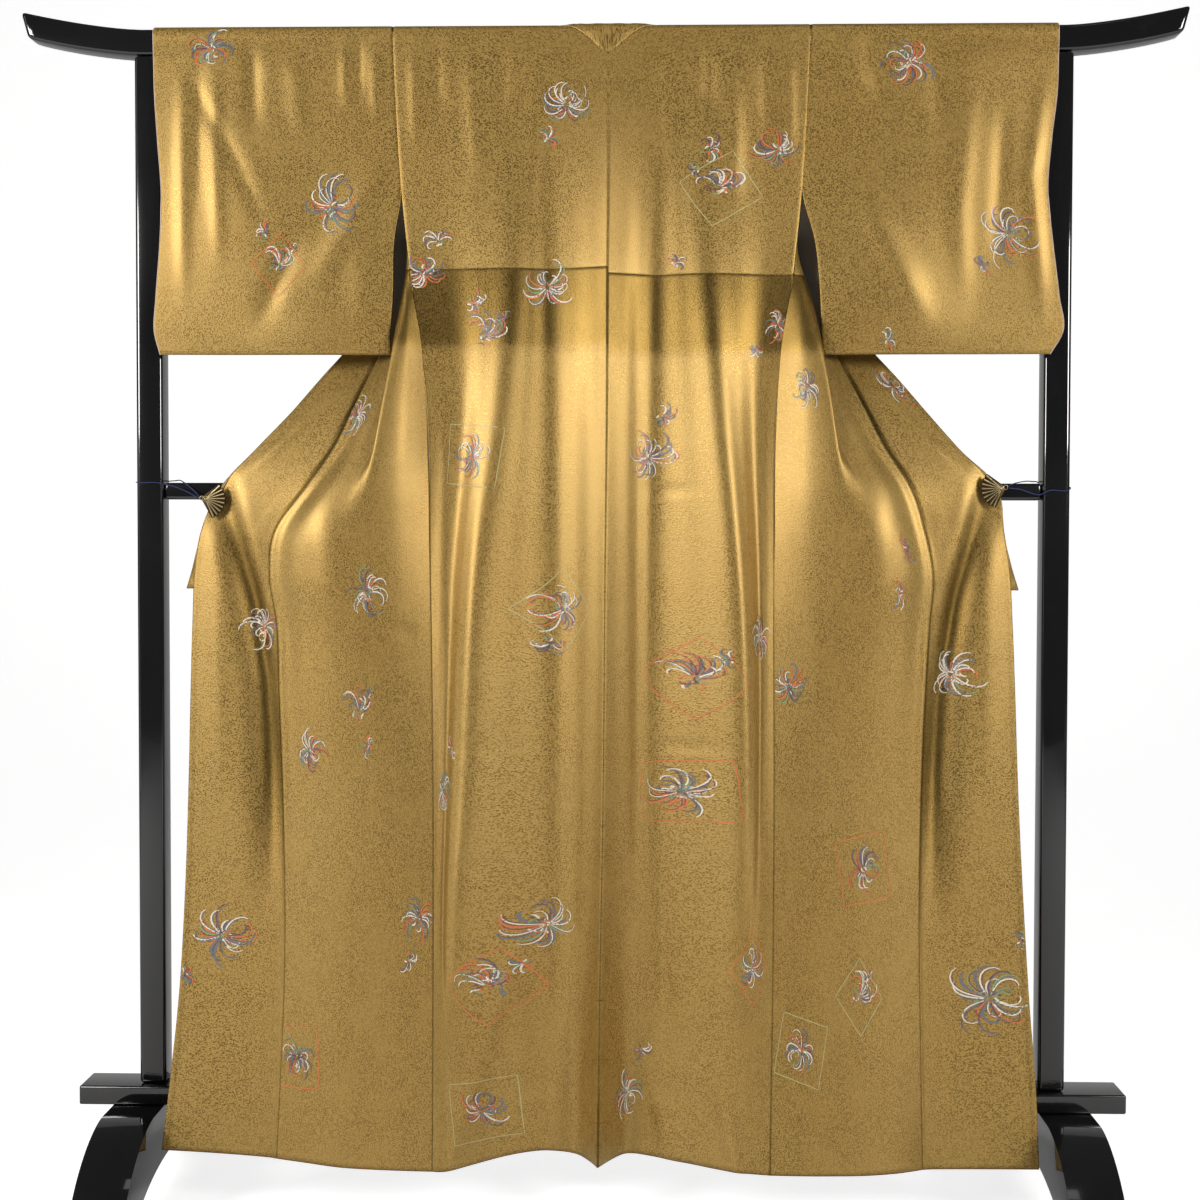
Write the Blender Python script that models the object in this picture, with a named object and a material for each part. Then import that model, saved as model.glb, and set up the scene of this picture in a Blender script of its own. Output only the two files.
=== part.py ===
"""Silk kimono hung over a black lacquered kimono stand.

The frame stands on the floor, centred on the stand: +X right, +Z up, -Y towards the side where the
garment's back faces. Cloth tables are in centimetres: "out" is the distance from the middle plane
(positive away from it on that side), "fwd" the distance towards -Y, "z" the height.
"""
import math

import bmesh
import bpy
import numpy as np

CM = 0.01
GAP = 0.0003               # clearance between pieces that meet
WALL = 0.002               # cloth wall
SEAM = 0.00034             # clearance between two sewn edges

# Stand
RAIL_HALF = 0.829
RAIL_TOP = 1.684
RAIL_HIGH = 0.037
RAIL_DEEP = 0.038
RAIL_BEND = 0.655          # distance from the middle where the rail starts to rise
RAIL_RISE = 0.026
RAIL_SLANT = 0.010         # how far the cut ends lean
RAIL_STEPS = 6             # sections along each rising end
POST_X = 0.647
POST_SIDE = 0.038
BAR_Z = 1.027
BAR_SIDE = 0.024
BOARD_Z = (0.1416, 0.169)
BOARD_HALF = 0.7505
BOARD_DEEP = 0.064
LEG_X = 0.664
LEG_WIDE = 0.074
LEG_TOP = BOARD_Z[0] - GAP
LEG_REACH = 0.245          # half of the foot's length, front to back
LEG_FLAT = 0.08            # half of the level stretch on top
ARCH_HALF = 0.185
ARCH_HIGH = 0.068
SOFT_EDGE = 0.006

# Cloth over the rail: the wall's middle runs round the rail's rounded corners
WRAP_RADIUS = SOFT_EDGE + 0.0022
WRAP_Y = RAIL_DEEP / 2 - SOFT_EDGE
WRAP_Z = RAIL_TOP - SOFT_EDGE

# Clips: distance of the pivot from the middle, its height, and the fan's tilt in degrees
CLIP = {"left": (0.562, 1.0145, 0), "right": (0.5655, 1.0310, -11)}
FAN_Y = -0.0350
BACK_LEAF_Y = -0.0140
RING_OUT = 0.0078          # the ring's centre, beyond the pivot
RING_UP = 0.002
RING_Y = -0.0250
RING_RADIUS = 0.0030
RING_WIRE = 0.0006
STRING_RADIUS = 0.0008
STRING_Z = {"left": 1.0375, "right": 1.0250}
STRING_OVER_BAR = 1.0422
STRING_POINTS = 54

LACQUER = ((0.008, 0.008, 0.010), 0.08, 0.0)
SILK = ((0.58, 0.40, 0.13), 0.42, 0.0)
BRASS = ((0.62, 0.42, 0.12), 0.30, 1.0)
STRING = ((0.02, 0.025, 0.12), 0.7, 0.0)

# Heights of the rows, in cm, from the hem to the side slit, and from the slit to the rail
SKIRT_ROWS = (8.3, 18, 32, 46, 60, 74, 84, 91, 97, 103, 108.5, 114, 119, 124, 128, 132)
UPPER_ROWS = (136, 140, 145, 152, 159, 164.5)
SLEEVE_ROWS = (122, 125, 130, 138, 145, 152, 159, 164.5)
HEM = SKIRT_ROWS[0]

# Centre back seam: z, x, fwd
CENTRE = ((8.3, 0.0, 9.9), (32, 0.2, 9.0), (60, 0.6, 8.0), (90, 0.8, 7.0), (115, 1.0, 6.0),
          (134, 1.0, 5.0), (147, 1.1, 4.1), (160, 1.1, 2.9), (164.5, 1.0, 2.4))

# Back panels: z, then out and fwd of side seam, outer fold, ridge, valley, flank
BACK = {
    "left": (
        (8.3, 22.8, 12.0, 20.3, 11.5, 13.6, 5.9, 7.9, 4.6, 3.0, 4.9),
        (32, 23.0, 9.6, 21.6, 9.4, 18.6, 9.6, 7.6, 4.3, 2.4, 5.9),
        (60, 23.3, 7.2, 21.5, 6.4, 18.0, 8.2, 7.2, 3.9, 1.9, 6.0),
        (90, 23.9, 5.1, 20.8, 4.4, 16.6, 6.4, 7.0, 3.4, 1.6, 5.6),
        (115, 24.6, 3.7, 19.4, 3.3, 13.8, 4.9, 7.0, 3.0, 1.4, 5.0),
        (134, 27.1, 2.9, 20.5, 2.9, 12.5, 3.9, 7.2, 2.8, 1.2, 4.2),
        (147, 28.5, 2.5, 22.0, 2.7, 13.5, 3.1, 7.5, 2.6, 1.5, 3.5),
        (160, 29.3, 2.3, 23.0, 2.4, 15.0, 2.5, 8.0, 2.4, 2.5, 2.6),
        (164.5, 29.5, 2.2, 24.0, 2.3, 16.0, 2.3, 8.5, 2.3, 3.0, 2.35)),
    "right": (
        (8.3, 23.8, 12.4, 18.7, 11.5, 13.4, 8.2, 6.7, 4.6, 3.4, 4.7),
        (32, 24.2, 9.8, 21.6, 9.9, 17.5, 9.2, 9.0, 4.6, 3.8, 5.2),
        (60, 24.5, 7.4, 22.4, 7.0, 19.4, 8.6, 8.4, 3.9, 4.0, 5.4),
        (90, 24.5, 5.2, 22.2, 4.8, 18.6, 7.2, 8.2, 3.3, 3.9, 5.0),
        (115, 24.9, 3.7, 21.6, 3.6, 16.5, 5.6, 8.2, 2.9, 3.8, 4.6),
        (134, 27.3, 2.9, 22.5, 3.1, 15.0, 4.4, 8.2, 2.7, 3.8, 4.0),
        (147, 28.6, 2.5, 22.8, 2.8, 14.5, 3.5, 8.5, 2.6, 4.0, 3.3),
        (160, 29.3, 2.3, 24.0, 2.4, 17.0, 2.6, 9.0, 2.4, 4.4, 2.6),
        (164.5, 29.5, 2.2, 24.5, 2.3, 17.5, 2.35, 9.5, 2.3, 5.0, 2.35)),
}

# Front panels: z, then out and fwd of side seam, swell, first fold, tuck, second fold, overlap seam
FRONT = {
    "left": (
        (8.3, 22.8, 12.0, 27.3, 11.8, 32.0, 11.4, 36.2, 11.0, 40.8, 10.2, 45.1, 9.5),
        (32, 23.0, 9.6, 27.4, 9.6, 31.7, 9.4, 36.0, 9.0, 40.2, 8.2, 44.4, 7.3),
        (60, 23.3, 7.2, 27.6, 7.9, 31.9, 8.0, 36.2, 7.6, 40.5, 6.7, 44.6, 5.4),
        (84, 23.8, 5.5, 28.2, 7.0, 32.6, 7.8, 37.0, 7.8, 41.4, 6.9, 45.2, 4.9),
        (97, 24.1, 4.7, 28.5, 6.9, 32.8, 8.0, 37.0, 8.2, 41.6, 7.2, 45.4, 5.0),
        (103, 24.2, 4.4, 28.3, 6.8, 32.2, 7.9, 34.6, 7.6, 37.6, 7.0, 40.9, 5.0),
        (108.5, 24.4, 4.0, 28.0, 6.5, 31.4, 7.4, 31.6, 6.2, 34.2, 5.8, 37.2, 4.2),
        (114, 24.6, 3.7, 27.8, 6.0, 30.6, 6.6, 29.8, 4.6, 32.0, 4.2, 34.7, 2.9),
        (119, 25.0, 3.5, 27.6, 5.3, 29.8, 5.6, 28.8, 3.0, 30.4, 2.6, 32.6, 1.3),
        (124, 25.5, 3.3, 27.4, 4.5, 29.0, 4.3, 28.0, 1.6, 29.2, 0.4, 30.9, -0.8),
        (132, 26.9, 2.95, 27.7, 2.7, 27.9, 1.4, 27.2, -0.8, 27.0, -3.0, 27.6, -4.2),
        (140, 27.9, 0.9, 27.2, -1.0, 26.0, -2.8, 24.4, -4.6, 23.4, -6.0, 24.4, -6.9),
        (145, 28.3, -0.5, 26.2, -2.1, 23.8, -3.4, 21.6, -4.8, 20.4, -5.8, 20.9, -6.7),
        (152, 28.9, -1.8, 25.6, -2.4, 22.4, -3.1, 19.4, -4.0, 17.2, -4.8, 16.4, -5.5),
        (159, 29.3, -2.1, 25.2, -2.3, 21.4, -2.6, 17.8, -3.0, 14.6, -3.3, 12.2, -3.5),
        (164.5, 29.5, -2.2, 25.2, -2.2, 20.8, -2.3, 16.6, -2.4, 12.6, -2.5, 9.2, -2.6)),
    "right": (
        (8.3, 23.8, 12.4, 28.1, 12.8, 32.5, 12.7, 36.9, 12.4, 41.4, 11.4, 45.2, 9.6),
        (32, 24.2, 9.8, 28.4, 10.0, 32.6, 9.8, 36.8, 9.4, 41.0, 8.6, 45.0, 7.4),
        (60, 24.5, 7.4, 28.6, 8.0, 32.8, 8.0, 37.0, 7.6, 41.2, 6.8, 45.0, 5.4),
        (84, 24.5, 5.6, 29.0, 7.0, 33.4, 7.8, 37.8, 7.8, 42.0, 7.0, 45.8, 5.0),
        (91, 24.5, 5.1, 29.2, 6.9, 33.8, 7.9, 38.4, 8.1, 42.6, 7.3, 46.3, 5.0),
        (97, 24.6, 4.8, 29.2, 6.9, 33.8, 8.0, 38.0, 8.2, 41.6, 7.3, 45.1, 5.0),
        (103, 24.6, 4.4, 29.2, 6.8, 33.6, 7.9, 36.8, 7.5, 39.8, 6.8, 43.1, 4.9),
        (108.5, 24.7, 4.0, 29.1, 6.4, 33.0, 7.4, 33.6, 6.2, 36.4, 5.8, 39.6, 4.2),
        (114, 24.9, 3.7, 29.0, 6.0, 32.4, 6.7, 31.8, 4.8, 34.2, 4.2, 36.9, 2.9),
        (119, 25.2, 3.5, 28.7, 5.4, 31.7, 5.8, 30.6, 3.2, 32.4, 2.6, 34.5, 1.3),
        (124, 25.7, 3.3, 28.4, 4.8, 30.8, 4.6, 29.6, 1.6, 31.0, 0.4, 32.6, -0.8),
        (132, 27.1, 2.95, 28.5, 2.9, 29.2, 1.6, 28.6, -0.8, 28.4, -3.0, 28.8, -4.2),
        (140, 28.0, 0.9, 27.4, -1.0, 26.2, -2.8, 24.6, -4.6, 23.6, -6.0, 24.6, -6.9),
        (145, 28.4, -0.5, 26.4, -2.1, 24.0, -3.4, 21.8, -4.8, 20.6, -5.8, 21.1, -6.7),
        (152, 28.9, -1.8, 25.8, -2.4, 22.8, -3.1, 20.0, -4.0, 18.0, -4.8, 17.2, -5.5),
        (159, 29.3, -2.1, 25.6, -2.3, 22.0, -2.6, 18.6, -3.0, 15.6, -3.3, 13.4, -3.5),
        (164.5, 29.5, -2.2, 25.6, -2.2, 21.6, -2.3, 17.6, -2.4, 13.8, -2.5, 10.8, -2.6)),
}

# Overlap panels, from the hem up to their narrow top: z, then out and fwd of the inner line, the
# middle and the front edge. Their inner edge is the front panel's last column.
OVERLAP = {
    "left": (
        (8.3, 47.2, 9.3, 54.3, 9.1, 61.4, 9.0),
        (18, 46.8, 8.2, 53.8, 7.9, 60.6, 7.6),
        (32, 46.4, 6.9, 53.1, 6.3, 59.6, 5.9),
        (60, 46.5, 4.8, 52.8, 4.2, 58.8, 3.6),
        (84, 46.8, 4.1, 52.6, 3.8, 58.3, 2.8),
        (91, 46.6, 4.0, 52.4, 3.8, 58.0, 2.6),
        (97, 46.4, 3.9, 51.8, 3.7, 57.0, 2.6),
        (103, 42.0, 3.9, 48.2, 3.4, 54.3, 2.6),
        (108.5, 37.8, 3.0, 43.9, 2.6, 49.4, 1.9),
        (114, 35.2, 1.6, 39.9, 1.2, 44.4, 0.6),
        (119, 32.9, 0.0, 36.7, -0.4, 40.4, -0.9),
        (124, 31.2, -1.6, 33.8, -2.2, 36.4, -2.8),
        (132, 28.0, -5.0, 29.6, -5.4, 31.0, -5.6),
        (140, 24.8, -7.2, 25.2, -7.4, 25.6, -7.6)),
    "right": (
        (8.3, 47.4, 9.3, 54.4, 9.1, 61.4, 9.0),
        (18, 47.0, 8.2, 54.2, 7.9, 61.2, 7.8),
        (32, 46.8, 6.9, 53.6, 6.4, 60.4, 6.2),
        (60, 46.8, 4.8, 53.1, 4.3, 59.2, 3.8),
        (84, 47.2, 4.1, 52.8, 3.8, 58.4, 2.8),
        (91, 47.6, 4.0, 52.8, 3.8, 58.0, 2.6),
        (97, 46.4, 3.9, 51.8, 3.7, 57.1, 2.6),
        (103, 44.2, 3.9, 50.3, 3.4, 56.2, 2.6),
        (108.5, 40.2, 3.0, 45.7, 2.6, 51.0, 1.9),
        (114, 37.4, 1.6, 42.0, 1.2, 46.4, 0.6),
        (119, 34.9, 0.0, 38.7, -0.4, 42.4, -0.9),
        (124, 32.9, -1.6, 35.6, -2.2, 38.2, -2.8),
        (132, 29.2, -5.0, 30.8, -5.4, 32.2, -5.6),
        (140, 25.0, -7.2, 25.4, -7.4, 25.8, -7.6)),
}

# How far the hem rises above HEM: back panel columns, front panel columns, overlap columns
HEM_RISE = {
    "left": ((0, 0, 0, 0.5, 0.1, 0), (0, 0, 0, 0.1, 0.4, 0.7), (0.9, 1.3, 1.6)),
    "right": ((0.1, 0.2, 0, 0, 0.1, 0), (0.1, 0.2, 0.2, 0.2, 0.2, 0.1), (0.1, 0.1, 0.1)),
}

# Sleeves: z, out of the inner edge and of the outer edge, then fwd at the inner edge, one third,
# two thirds and the outer edge, near layer and far layer
SLEEVE = {
    "left": (
        (122, 29.7, 62.6, 3.00, 3.30, 3.10, 3.20, 2.75, 3.05, 2.85, 2.95),
        (125, 29.8, 63.4, 3.00, 3.60, 3.20, 3.20, 1.80, 1.90, 2.00, 2.95),
        (130, 29.5, 63.2, 2.90, 3.50, 3.40, 3.15, 0.90, 0.60, 1.10, 2.90),
        (138, 29.3, 62.6, 2.75, 3.10, 3.60, 3.10, -0.20, -0.80, 0.00, 2.85),
        (145, 28.9, 62.4, 2.60, 2.90, 3.50, 3.00, -0.50, -1.50, -1.00, 2.75),
        (152, 28.9, 62.9, 2.50, 2.70, 3.10, 2.85, -1.80, -2.20, -1.90, 0.20),
        (159, 29.3, 63.4, 2.35, 2.50, 2.70, 2.60, -2.10, -2.30, -2.25, -1.80),
        (164.5, 29.5, 63.6, 2.20, 2.30, 2.40, 2.30, -2.20, -2.30, -2.25, -2.20)),
    "right": (
        (122, 31.4, 63.2, 3.00, 3.20, 3.20, 3.20, 2.75, 2.95, 2.95, 2.95),
        (125, 31.2, 64.9, 3.00, 3.70, 3.30, 3.20, 1.80, 1.90, 2.00, 2.95),
        (130, 31.0, 64.4, 2.90, 4.00, 3.20, 3.15, 0.90, 0.60, 1.10, 2.90),
        (138, 30.2, 63.4, 2.75, 3.80, 3.20, 3.10, -0.20, -0.80, 0.00, 2.85),
        (145, 28.9, 62.7, 2.60, 3.30, 3.30, 3.00, -0.50, -1.50, -1.00, 2.75),
        (152, 28.9, 63.2, 2.50, 2.90, 3.20, 2.85, -1.80, -2.20, -1.90, 0.20),
        (159, 29.3, 64.0, 2.35, 2.60, 2.80, 2.60, -2.10, -2.30, -2.25, -1.80),
        (164.5, 29.5, 64.2, 2.20, 2.30, 2.50, 2.30, -2.20, -2.30, -2.25, -2.20)),
}
CUFF_INSIDE = 62.25        # the far layer's cuff edge passes just inside the post
CUFF_END = 146.0           # the sleeve's outer edge is sewn below this height

# Neck: where the body's inner edge lies on each row round the rail, from near to far
NECK_OUT = {"left": (2.0, 3.2, 4.2, 5.6, 7.4, 8.2, 8.5, 8.8, 9.0),
            "right": (4.0, 5.2, 6.2, 7.6, 9.4, 10.0, 10.2, 10.4, 10.6)}

# Collar band, from its sewn edge to its free edge: z of the row, then out and fwd steps
COLLAR = (
    (88.7, (1.2, -0.60), (-1.8, -1.35), (-5.5, -1.4)),
    (91, (0.5, -0.60), (-2.0, -1.2), (-5.5, -1.3)),
    (97, (-0.3, -0.55), (-2.6, -0.8), (-5.6, -0.9)),
    (103, (-0.4, -0.60), (-2.6, -0.8), (-5.6, -0.9)),
    (108.5, (-0.4, -0.80), (-2.4, -1.3), (-5.2, -1.5)),
    (114, (-0.4, -0.90), (-2.2, -1.6), (-5.0, -2.0)),
    (119, (-0.4, -0.90), (-2.2, -1.6), (-4.8, -2.2)),
    (124, (-0.4, -0.90), (-2.2, -1.7), (-4.6, -2.4)),
    (132, (-0.4, -0.90), (-2.0, -1.8), (-4.4, -2.4)),
    (140, (-0.5, -0.90), (-2.0, -1.7), (-4.4, -2.2)),
    (145, (-0.8, -0.90), (-2.4, -1.5), (-4.8, -1.9)),
    (152, (-1.4, -0.70), (-3.2, -1.0), (-5.4, -1.2)),
    (159, (-1.9, -0.40), (-3.8, -0.6), (-5.6, -0.7)),
    (164.5, (-1.9, -0.20), (-3.8, -0.3), (-5.6, -0.4)),
)
COLLAR_END = 88.7
NEARNESS = np.array((0.37, 1.0, 0.0))
COLLAR_PROUD = 0.0028      # the band lies this much proud of the body round the rail
COLLAR_HANG = (-2.7, 164.4)


def smooth(x, xs, ys):
    """A smooth curve through rows of ys at the places xs, read at x."""
    xs, ys = np.asarray(xs, float), np.asarray(ys, float)
    slope = np.gradient(ys, xs, axis=0)
    i = np.clip(np.searchsorted(xs, x) - 1, 0, len(xs) - 2)
    h = (xs[i + 1] - xs[i])
    t = np.clip((np.asarray(x, float) - xs[i]) / h, 0, 1)
    t, h = t[..., None], h[..., None]
    return ((1 + 2 * t) * (1 - t) ** 2 * ys[i] + t * (1 - t) ** 2 * h * slope[i]
            + t * t * (3 - 2 * t) * ys[i + 1] + t * t * (t - 1) * h * slope[i + 1])


def unit(v):
    return v / np.maximum(np.linalg.norm(v, axis=-1, keepdims=True), 1e-12)


def across(knots, count):
    """Spreads the named points of every row over count columns."""
    knots = np.moveaxis(knots, 1, 0)
    s = np.linspace(0, len(knots) - 1, count)
    flat = smooth(s, np.arange(len(knots)), knots.reshape(len(knots), -1))
    return np.moveaxis(flat.reshape((count,) + knots.shape[1:]), 0, 1)


def place(side, out, fwd, z):
    sign = -1 if side == "left" else 1
    out, fwd, z = np.broadcast_arrays(np.asarray(out, float), fwd, z)
    return np.stack((sign * out, -fwd, z), axis=-1) * CM


def table(rows, heights):
    """Reads a table at the heights: out and fwd of each named column."""
    rows = np.asarray(rows, float)
    read = smooth(np.asarray(heights, float), rows[:, 0], rows[:, 1:])
    return read[:, 0::2], read[:, 1::2]


def lifted(heights, rise):
    """Heights of each column, with the hem's rise fading out upwards."""
    heights = np.asarray(heights, float)
    fade = np.clip(1 - (heights - HEM) / 26, 0, 1)
    return heights[:, None] + fade[:, None] * np.asarray(rise, float)[None, :]


def round_rail(proud=0.0):
    """Fwd and z of the cloth from the rail's near face over the top to its far face, in cm."""
    r, y, z = WRAP_RADIUS + proud, WRAP_Y, WRAP_Z
    near = [(y + r * math.cos(a), z + r * math.sin(a)) for a in (0, math.pi / 4, math.pi / 2)]
    return [(f / CM, h / CM) for f, h in
            [(y + r, z - 0.009)] + near + [(0.0, z + r)]
            + [(-f, h) for f, h in reversed(near)] + [(-y - r, z - 0.009)]]


class Panel:
    """A sheet of cloth: the middle of its wall as rows and columns of points."""

    def __init__(self, name, points, facing):
        self.name = name
        self.p = points
        along = np.gradient(points, axis=0)
        over = np.gradient(points, axis=1)
        self.n = unit(np.cross(along, over)) * facing

    def edge(self, rows, column):
        """The panel's edge as indices, and the direction from it into the panel."""
        rows = np.asarray(rows)
        inward = self.p[rows, column + 1] if column == 0 else self.p[rows, column - 1]
        return rows, np.full(len(rows), column), inward

    def solid(self, material, wall=WALL):
        rows, cols = self.p.shape[:2]
        outer, inner = self.p + self.n * wall / 2, self.p - self.n * wall / 2
        verts = np.concatenate((outer.reshape(-1, 3), inner.reshape(-1, 3)))
        k, back = np.arange(rows * cols).reshape(rows, cols), rows * cols
        faces = []
        for i in range(rows - 1):
            for j in range(cols - 1):
                a, b, c, d = k[i, j], k[i, j + 1], k[i + 1, j + 1], k[i + 1, j]
                p = self.p
                if np.linalg.norm(p[i, j] - p[i + 1, j + 1]) > np.linalg.norm(p[i, j + 1] - p[i + 1, j]):
                    a, b, c, d = b, c, d, a
                faces += [(a, b, c), (a, c, d)]
                faces += [(c + back, b + back, a + back), (d + back, c + back, a + back)]
        rim = list(k[0, :]) + list(k[1:, -1]) + list(k[-1, -2::-1]) + list(k[-2:0:-1, 0])
        for a, b in zip(rim, rim[1:] + rim[:1]):
            quad = (b, a, a + back, b + back)
            # facing rims are split along the same diagonal, so that they stay parallel
            rising = verts[a][2] + verts[a + back][2] < verts[b][2] + verts[b + back][2]
            low = a if rising else b
            near = low if verts[low] @ NEARNESS < verts[low + back] @ NEARNESS else low + back
            if quad.index(near) % 2:
                quad = quad[1:] + quad[:1]
            faces += [quad[:3], (quad[0], quad[2], quad[3])]
        return make_mesh(self.name, verts.tolist(), faces, material)


def sew(a, edge_a, b, edge_b):
    """Lays two edges on one seam line, a hair apart, with one shared direction of thickness."""
    ra, ca, inside = edge_a
    rb, cb, _ = edge_b
    line = (a.p[ra, ca] + b.p[rb, cb]) / 2
    run = unit(np.gradient(line, axis=0))
    normal = unit(a.n[ra, ca] + b.n[rb, cb])
    side = unit(np.cross(normal, run))
    side *= np.sign(np.sum(side * (inside - line), axis=-1, keepdims=True))
    normal = unit(normal - side * np.sum(normal * side, axis=-1, keepdims=True))
    a.p[ra, ca], b.p[rb, cb] = line + side * SEAM / 2, line - side * SEAM / 2
    a.n[ra, ca] = b.n[rb, cb] = normal


def make_material(name, look):
    colour, roughness, metallic = look
    material = bpy.data.materials.new(name)
    material.use_nodes = True
    bsdf = material.node_tree.nodes["Principled BSDF"]
    bsdf.inputs["Base Color"].default_value = (*colour, 1)
    bsdf.inputs["Roughness"].default_value = roughness
    bsdf.inputs["Metallic"].default_value = metallic
    return material


def make_mesh(name, verts, faces, material):
    mesh = bpy.data.meshes.new(name)
    mesh.from_pydata([tuple(v) for v in verts], [], [tuple(int(i) for i in f) for f in faces])
    mesh.materials.append(material)
    bm = bmesh.new()
    bm.from_mesh(mesh)
    bmesh.ops.recalc_face_normals(bm, faces=bm.faces)
    bm.to_mesh(mesh)
    bm.free()
    obj = bpy.data.objects.new(name, mesh)
    bpy.context.scene.collection.objects.link(obj)
    return obj


def block(name, x, y, z, material, soft=0.003):
    """A box between the given limits, with softened edges."""
    corners = [(a, b, c) for a in x for b in y for c in z]
    faces = [(0, 1, 3, 2), (4, 6, 7, 5), (0, 4, 5, 1), (2, 3, 7, 6), (0, 2, 6, 4), (1, 5, 7, 3)]
    obj = make_mesh(name, corners, faces, material)
    bevel = obj.modifiers.new("soft_edges", "BEVEL")
    bevel.width, bevel.segments = soft, 2
    return obj


def top_rail(material):
    """The rail: a rounded bar whose ends rise and are cut slanting."""
    places = [-RAIL_HALF + (RAIL_HALF - RAIL_BEND) * k / RAIL_STEPS for k in range(RAIL_STEPS + 1)]
    places += [0.0] + [-x for x in reversed(places)]
    deep, high, r = RAIL_DEEP / 2, RAIL_HIGH, SOFT_EDGE
    ring = []
    corners = ((deep - r, -r), (-deep + r, -r), (-deep + r, -high + r), (deep - r, -high + r))
    for start, (cy, cz) in enumerate(corners):
        for k in range(3):
            a = (start + k / 2) * math.pi / 2
            ring.append((cy + r * math.cos(a), cz + r * math.sin(a)))
    verts, faces, n = [], [], len(ring)
    for x in places:
        part = max(0.0, (abs(x) - RAIL_BEND) / (RAIL_HALF - RAIL_BEND))
        for y, z in ring:
            lean = math.copysign(RAIL_SLANT, x) * (z / high) * (abs(x) > RAIL_HALF - 0.001)
            verts.append((x + lean, y, RAIL_TOP + z + RAIL_RISE * part ** 1.5))
    for i in range(len(places) - 1):
        for j in range(n):
            a, b = i * n + j, i * n + (j + 1) % n
            faces.append((a, b, b + n, a + n))
    faces += [tuple(range(n - 1, -1, -1)), tuple(range(len(verts) - n, len(verts)))]
    return make_mesh("top_rail", verts, faces, material)


def leg(name, x, material):
    """An arched foot: an outline of two soft curves, as wide as the leg."""
    def bow(y, half, high, power, flat=0.0):
        t = max(0.0, abs(y) - flat) / (half - flat)
        return high * max(0.0, 1 - t ** power) ** (1 / power)

    steps = [math.sin(k / 10 * math.pi / 2) for k in range(11)]
    upper = [LEG_FLAT + (LEG_REACH - LEG_FLAT) * s for s in steps]
    lower = [ARCH_HALF * s for s in reversed(steps)]
    half = [(y, bow(y, LEG_REACH, LEG_TOP, 1.7, LEG_FLAT)) for y in upper]
    half += [(y, bow(y, ARCH_HALF, ARCH_HIGH, 1.8)) for y in lower]
    outline = half + [(-y, z) for y, z in reversed(half[:-1])]
    n = len(outline)
    verts = [(x + s * LEG_WIDE / 2, y, z) for s in (-1, 1) for y, z in outline]
    faces = [tuple(range(n)), tuple(range(2 * n - 1, n - 1, -1))]
    faces += [(i, (i + 1) % n, (i + 1) % n + n, i + n) for i in range(n)]
    return make_mesh(name, verts, faces, material)


def stand(material):
    half = POST_SIDE / 2
    top_rail(material)
    for name, x in (("left", -POST_X), ("right", POST_X)):
        block("post_" + name, (x - half, x + half), (-half, half),
              (BOARD_Z[1] + GAP, RAIL_TOP - RAIL_HIGH - GAP), material, 0.005)
    reach = POST_X - half - GAP
    block("cross_bar", (-reach, reach), (-BAR_SIDE / 2, BAR_SIDE / 2),
          (BAR_Z - BAR_SIDE / 2, BAR_Z + BAR_SIDE / 2), material)
    deep = BOARD_DEEP / 2
    block("base_board", (-BOARD_HALF, BOARD_HALF), (-deep, deep), BOARD_Z, material)
    leg("leg_left", -LEG_X, material)
    leg("leg_right", LEG_X, material)


def body_points(side, columns=11):
    """One length of cloth: up the back from the hem, over the rail and down the front."""
    rise_back, rise_front, _ = HEM_RISE[side]
    heights = SKIRT_ROWS + UPPER_ROWS
    sign = -1 if side == "left" else 1
    out, fwd = table(BACK[side], heights)
    mid_x, mid_fwd = table(CENTRE, heights)
    out, fwd = np.hstack((out, sign * mid_x)), np.hstack((fwd, mid_fwd))
    back = across(place(side, out, fwd, lifted(heights, rise_back)), columns)
    out, fwd = table(FRONT[side], heights)
    front = across(place(side, out, fwd, lifted(heights, rise_front)), columns)
    wrap = []
    for (f, z), neck in zip(round_rail(), NECK_OUT[side]):
        wrap.append(place(side, np.linspace(29.6, neck, columns), f, z))
    return np.concatenate((back, np.array(wrap), front[::-1]))


def sleeve_points(side, seam, columns=9):
    """Near layer up from the bottom, over the rail, far layer down to the bottom."""
    rows = np.asarray(SLEEVE[side], float)
    inner, outer = rows[:, 1], rows[:, 2]
    u = np.linspace(0, 1, columns)
    inside = place(side, CUFF_INSIDE, 0, 0)[0]
    layers = []
    for first in (3, 7):
        knots = np.moveaxis(rows[:, first:first + 4], 0, 1)
        fwd = smooth(u * 3, np.arange(4), knots).T
        out = inner[:, None] + (outer - inner)[:, None] * u
        layer = place(side, out, fwd, rows[:, :1])
        layers.append(layer)
    near, far = layers
    for i, z in enumerate(rows[:, 0]):
        if CUFF_END < z < 164:
            shift = np.clip((np.abs(far[i, :, 0]) - 0.5) / 0.12, 0, 1)
            far[i, :, 0] += (inside - far[i, -1, 0]) * shift
    edge = rows[-1, 2] + 0.1
    wrap = [place(side, np.linspace(29.6, edge, columns), f, z) for f, z in round_rail()]
    points = np.concatenate((near, np.array(wrap), far[::-1]))
    start = SLEEVE_ROWS.index(145)
    points[start:len(points) - start, 0] = seam
    return points


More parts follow.
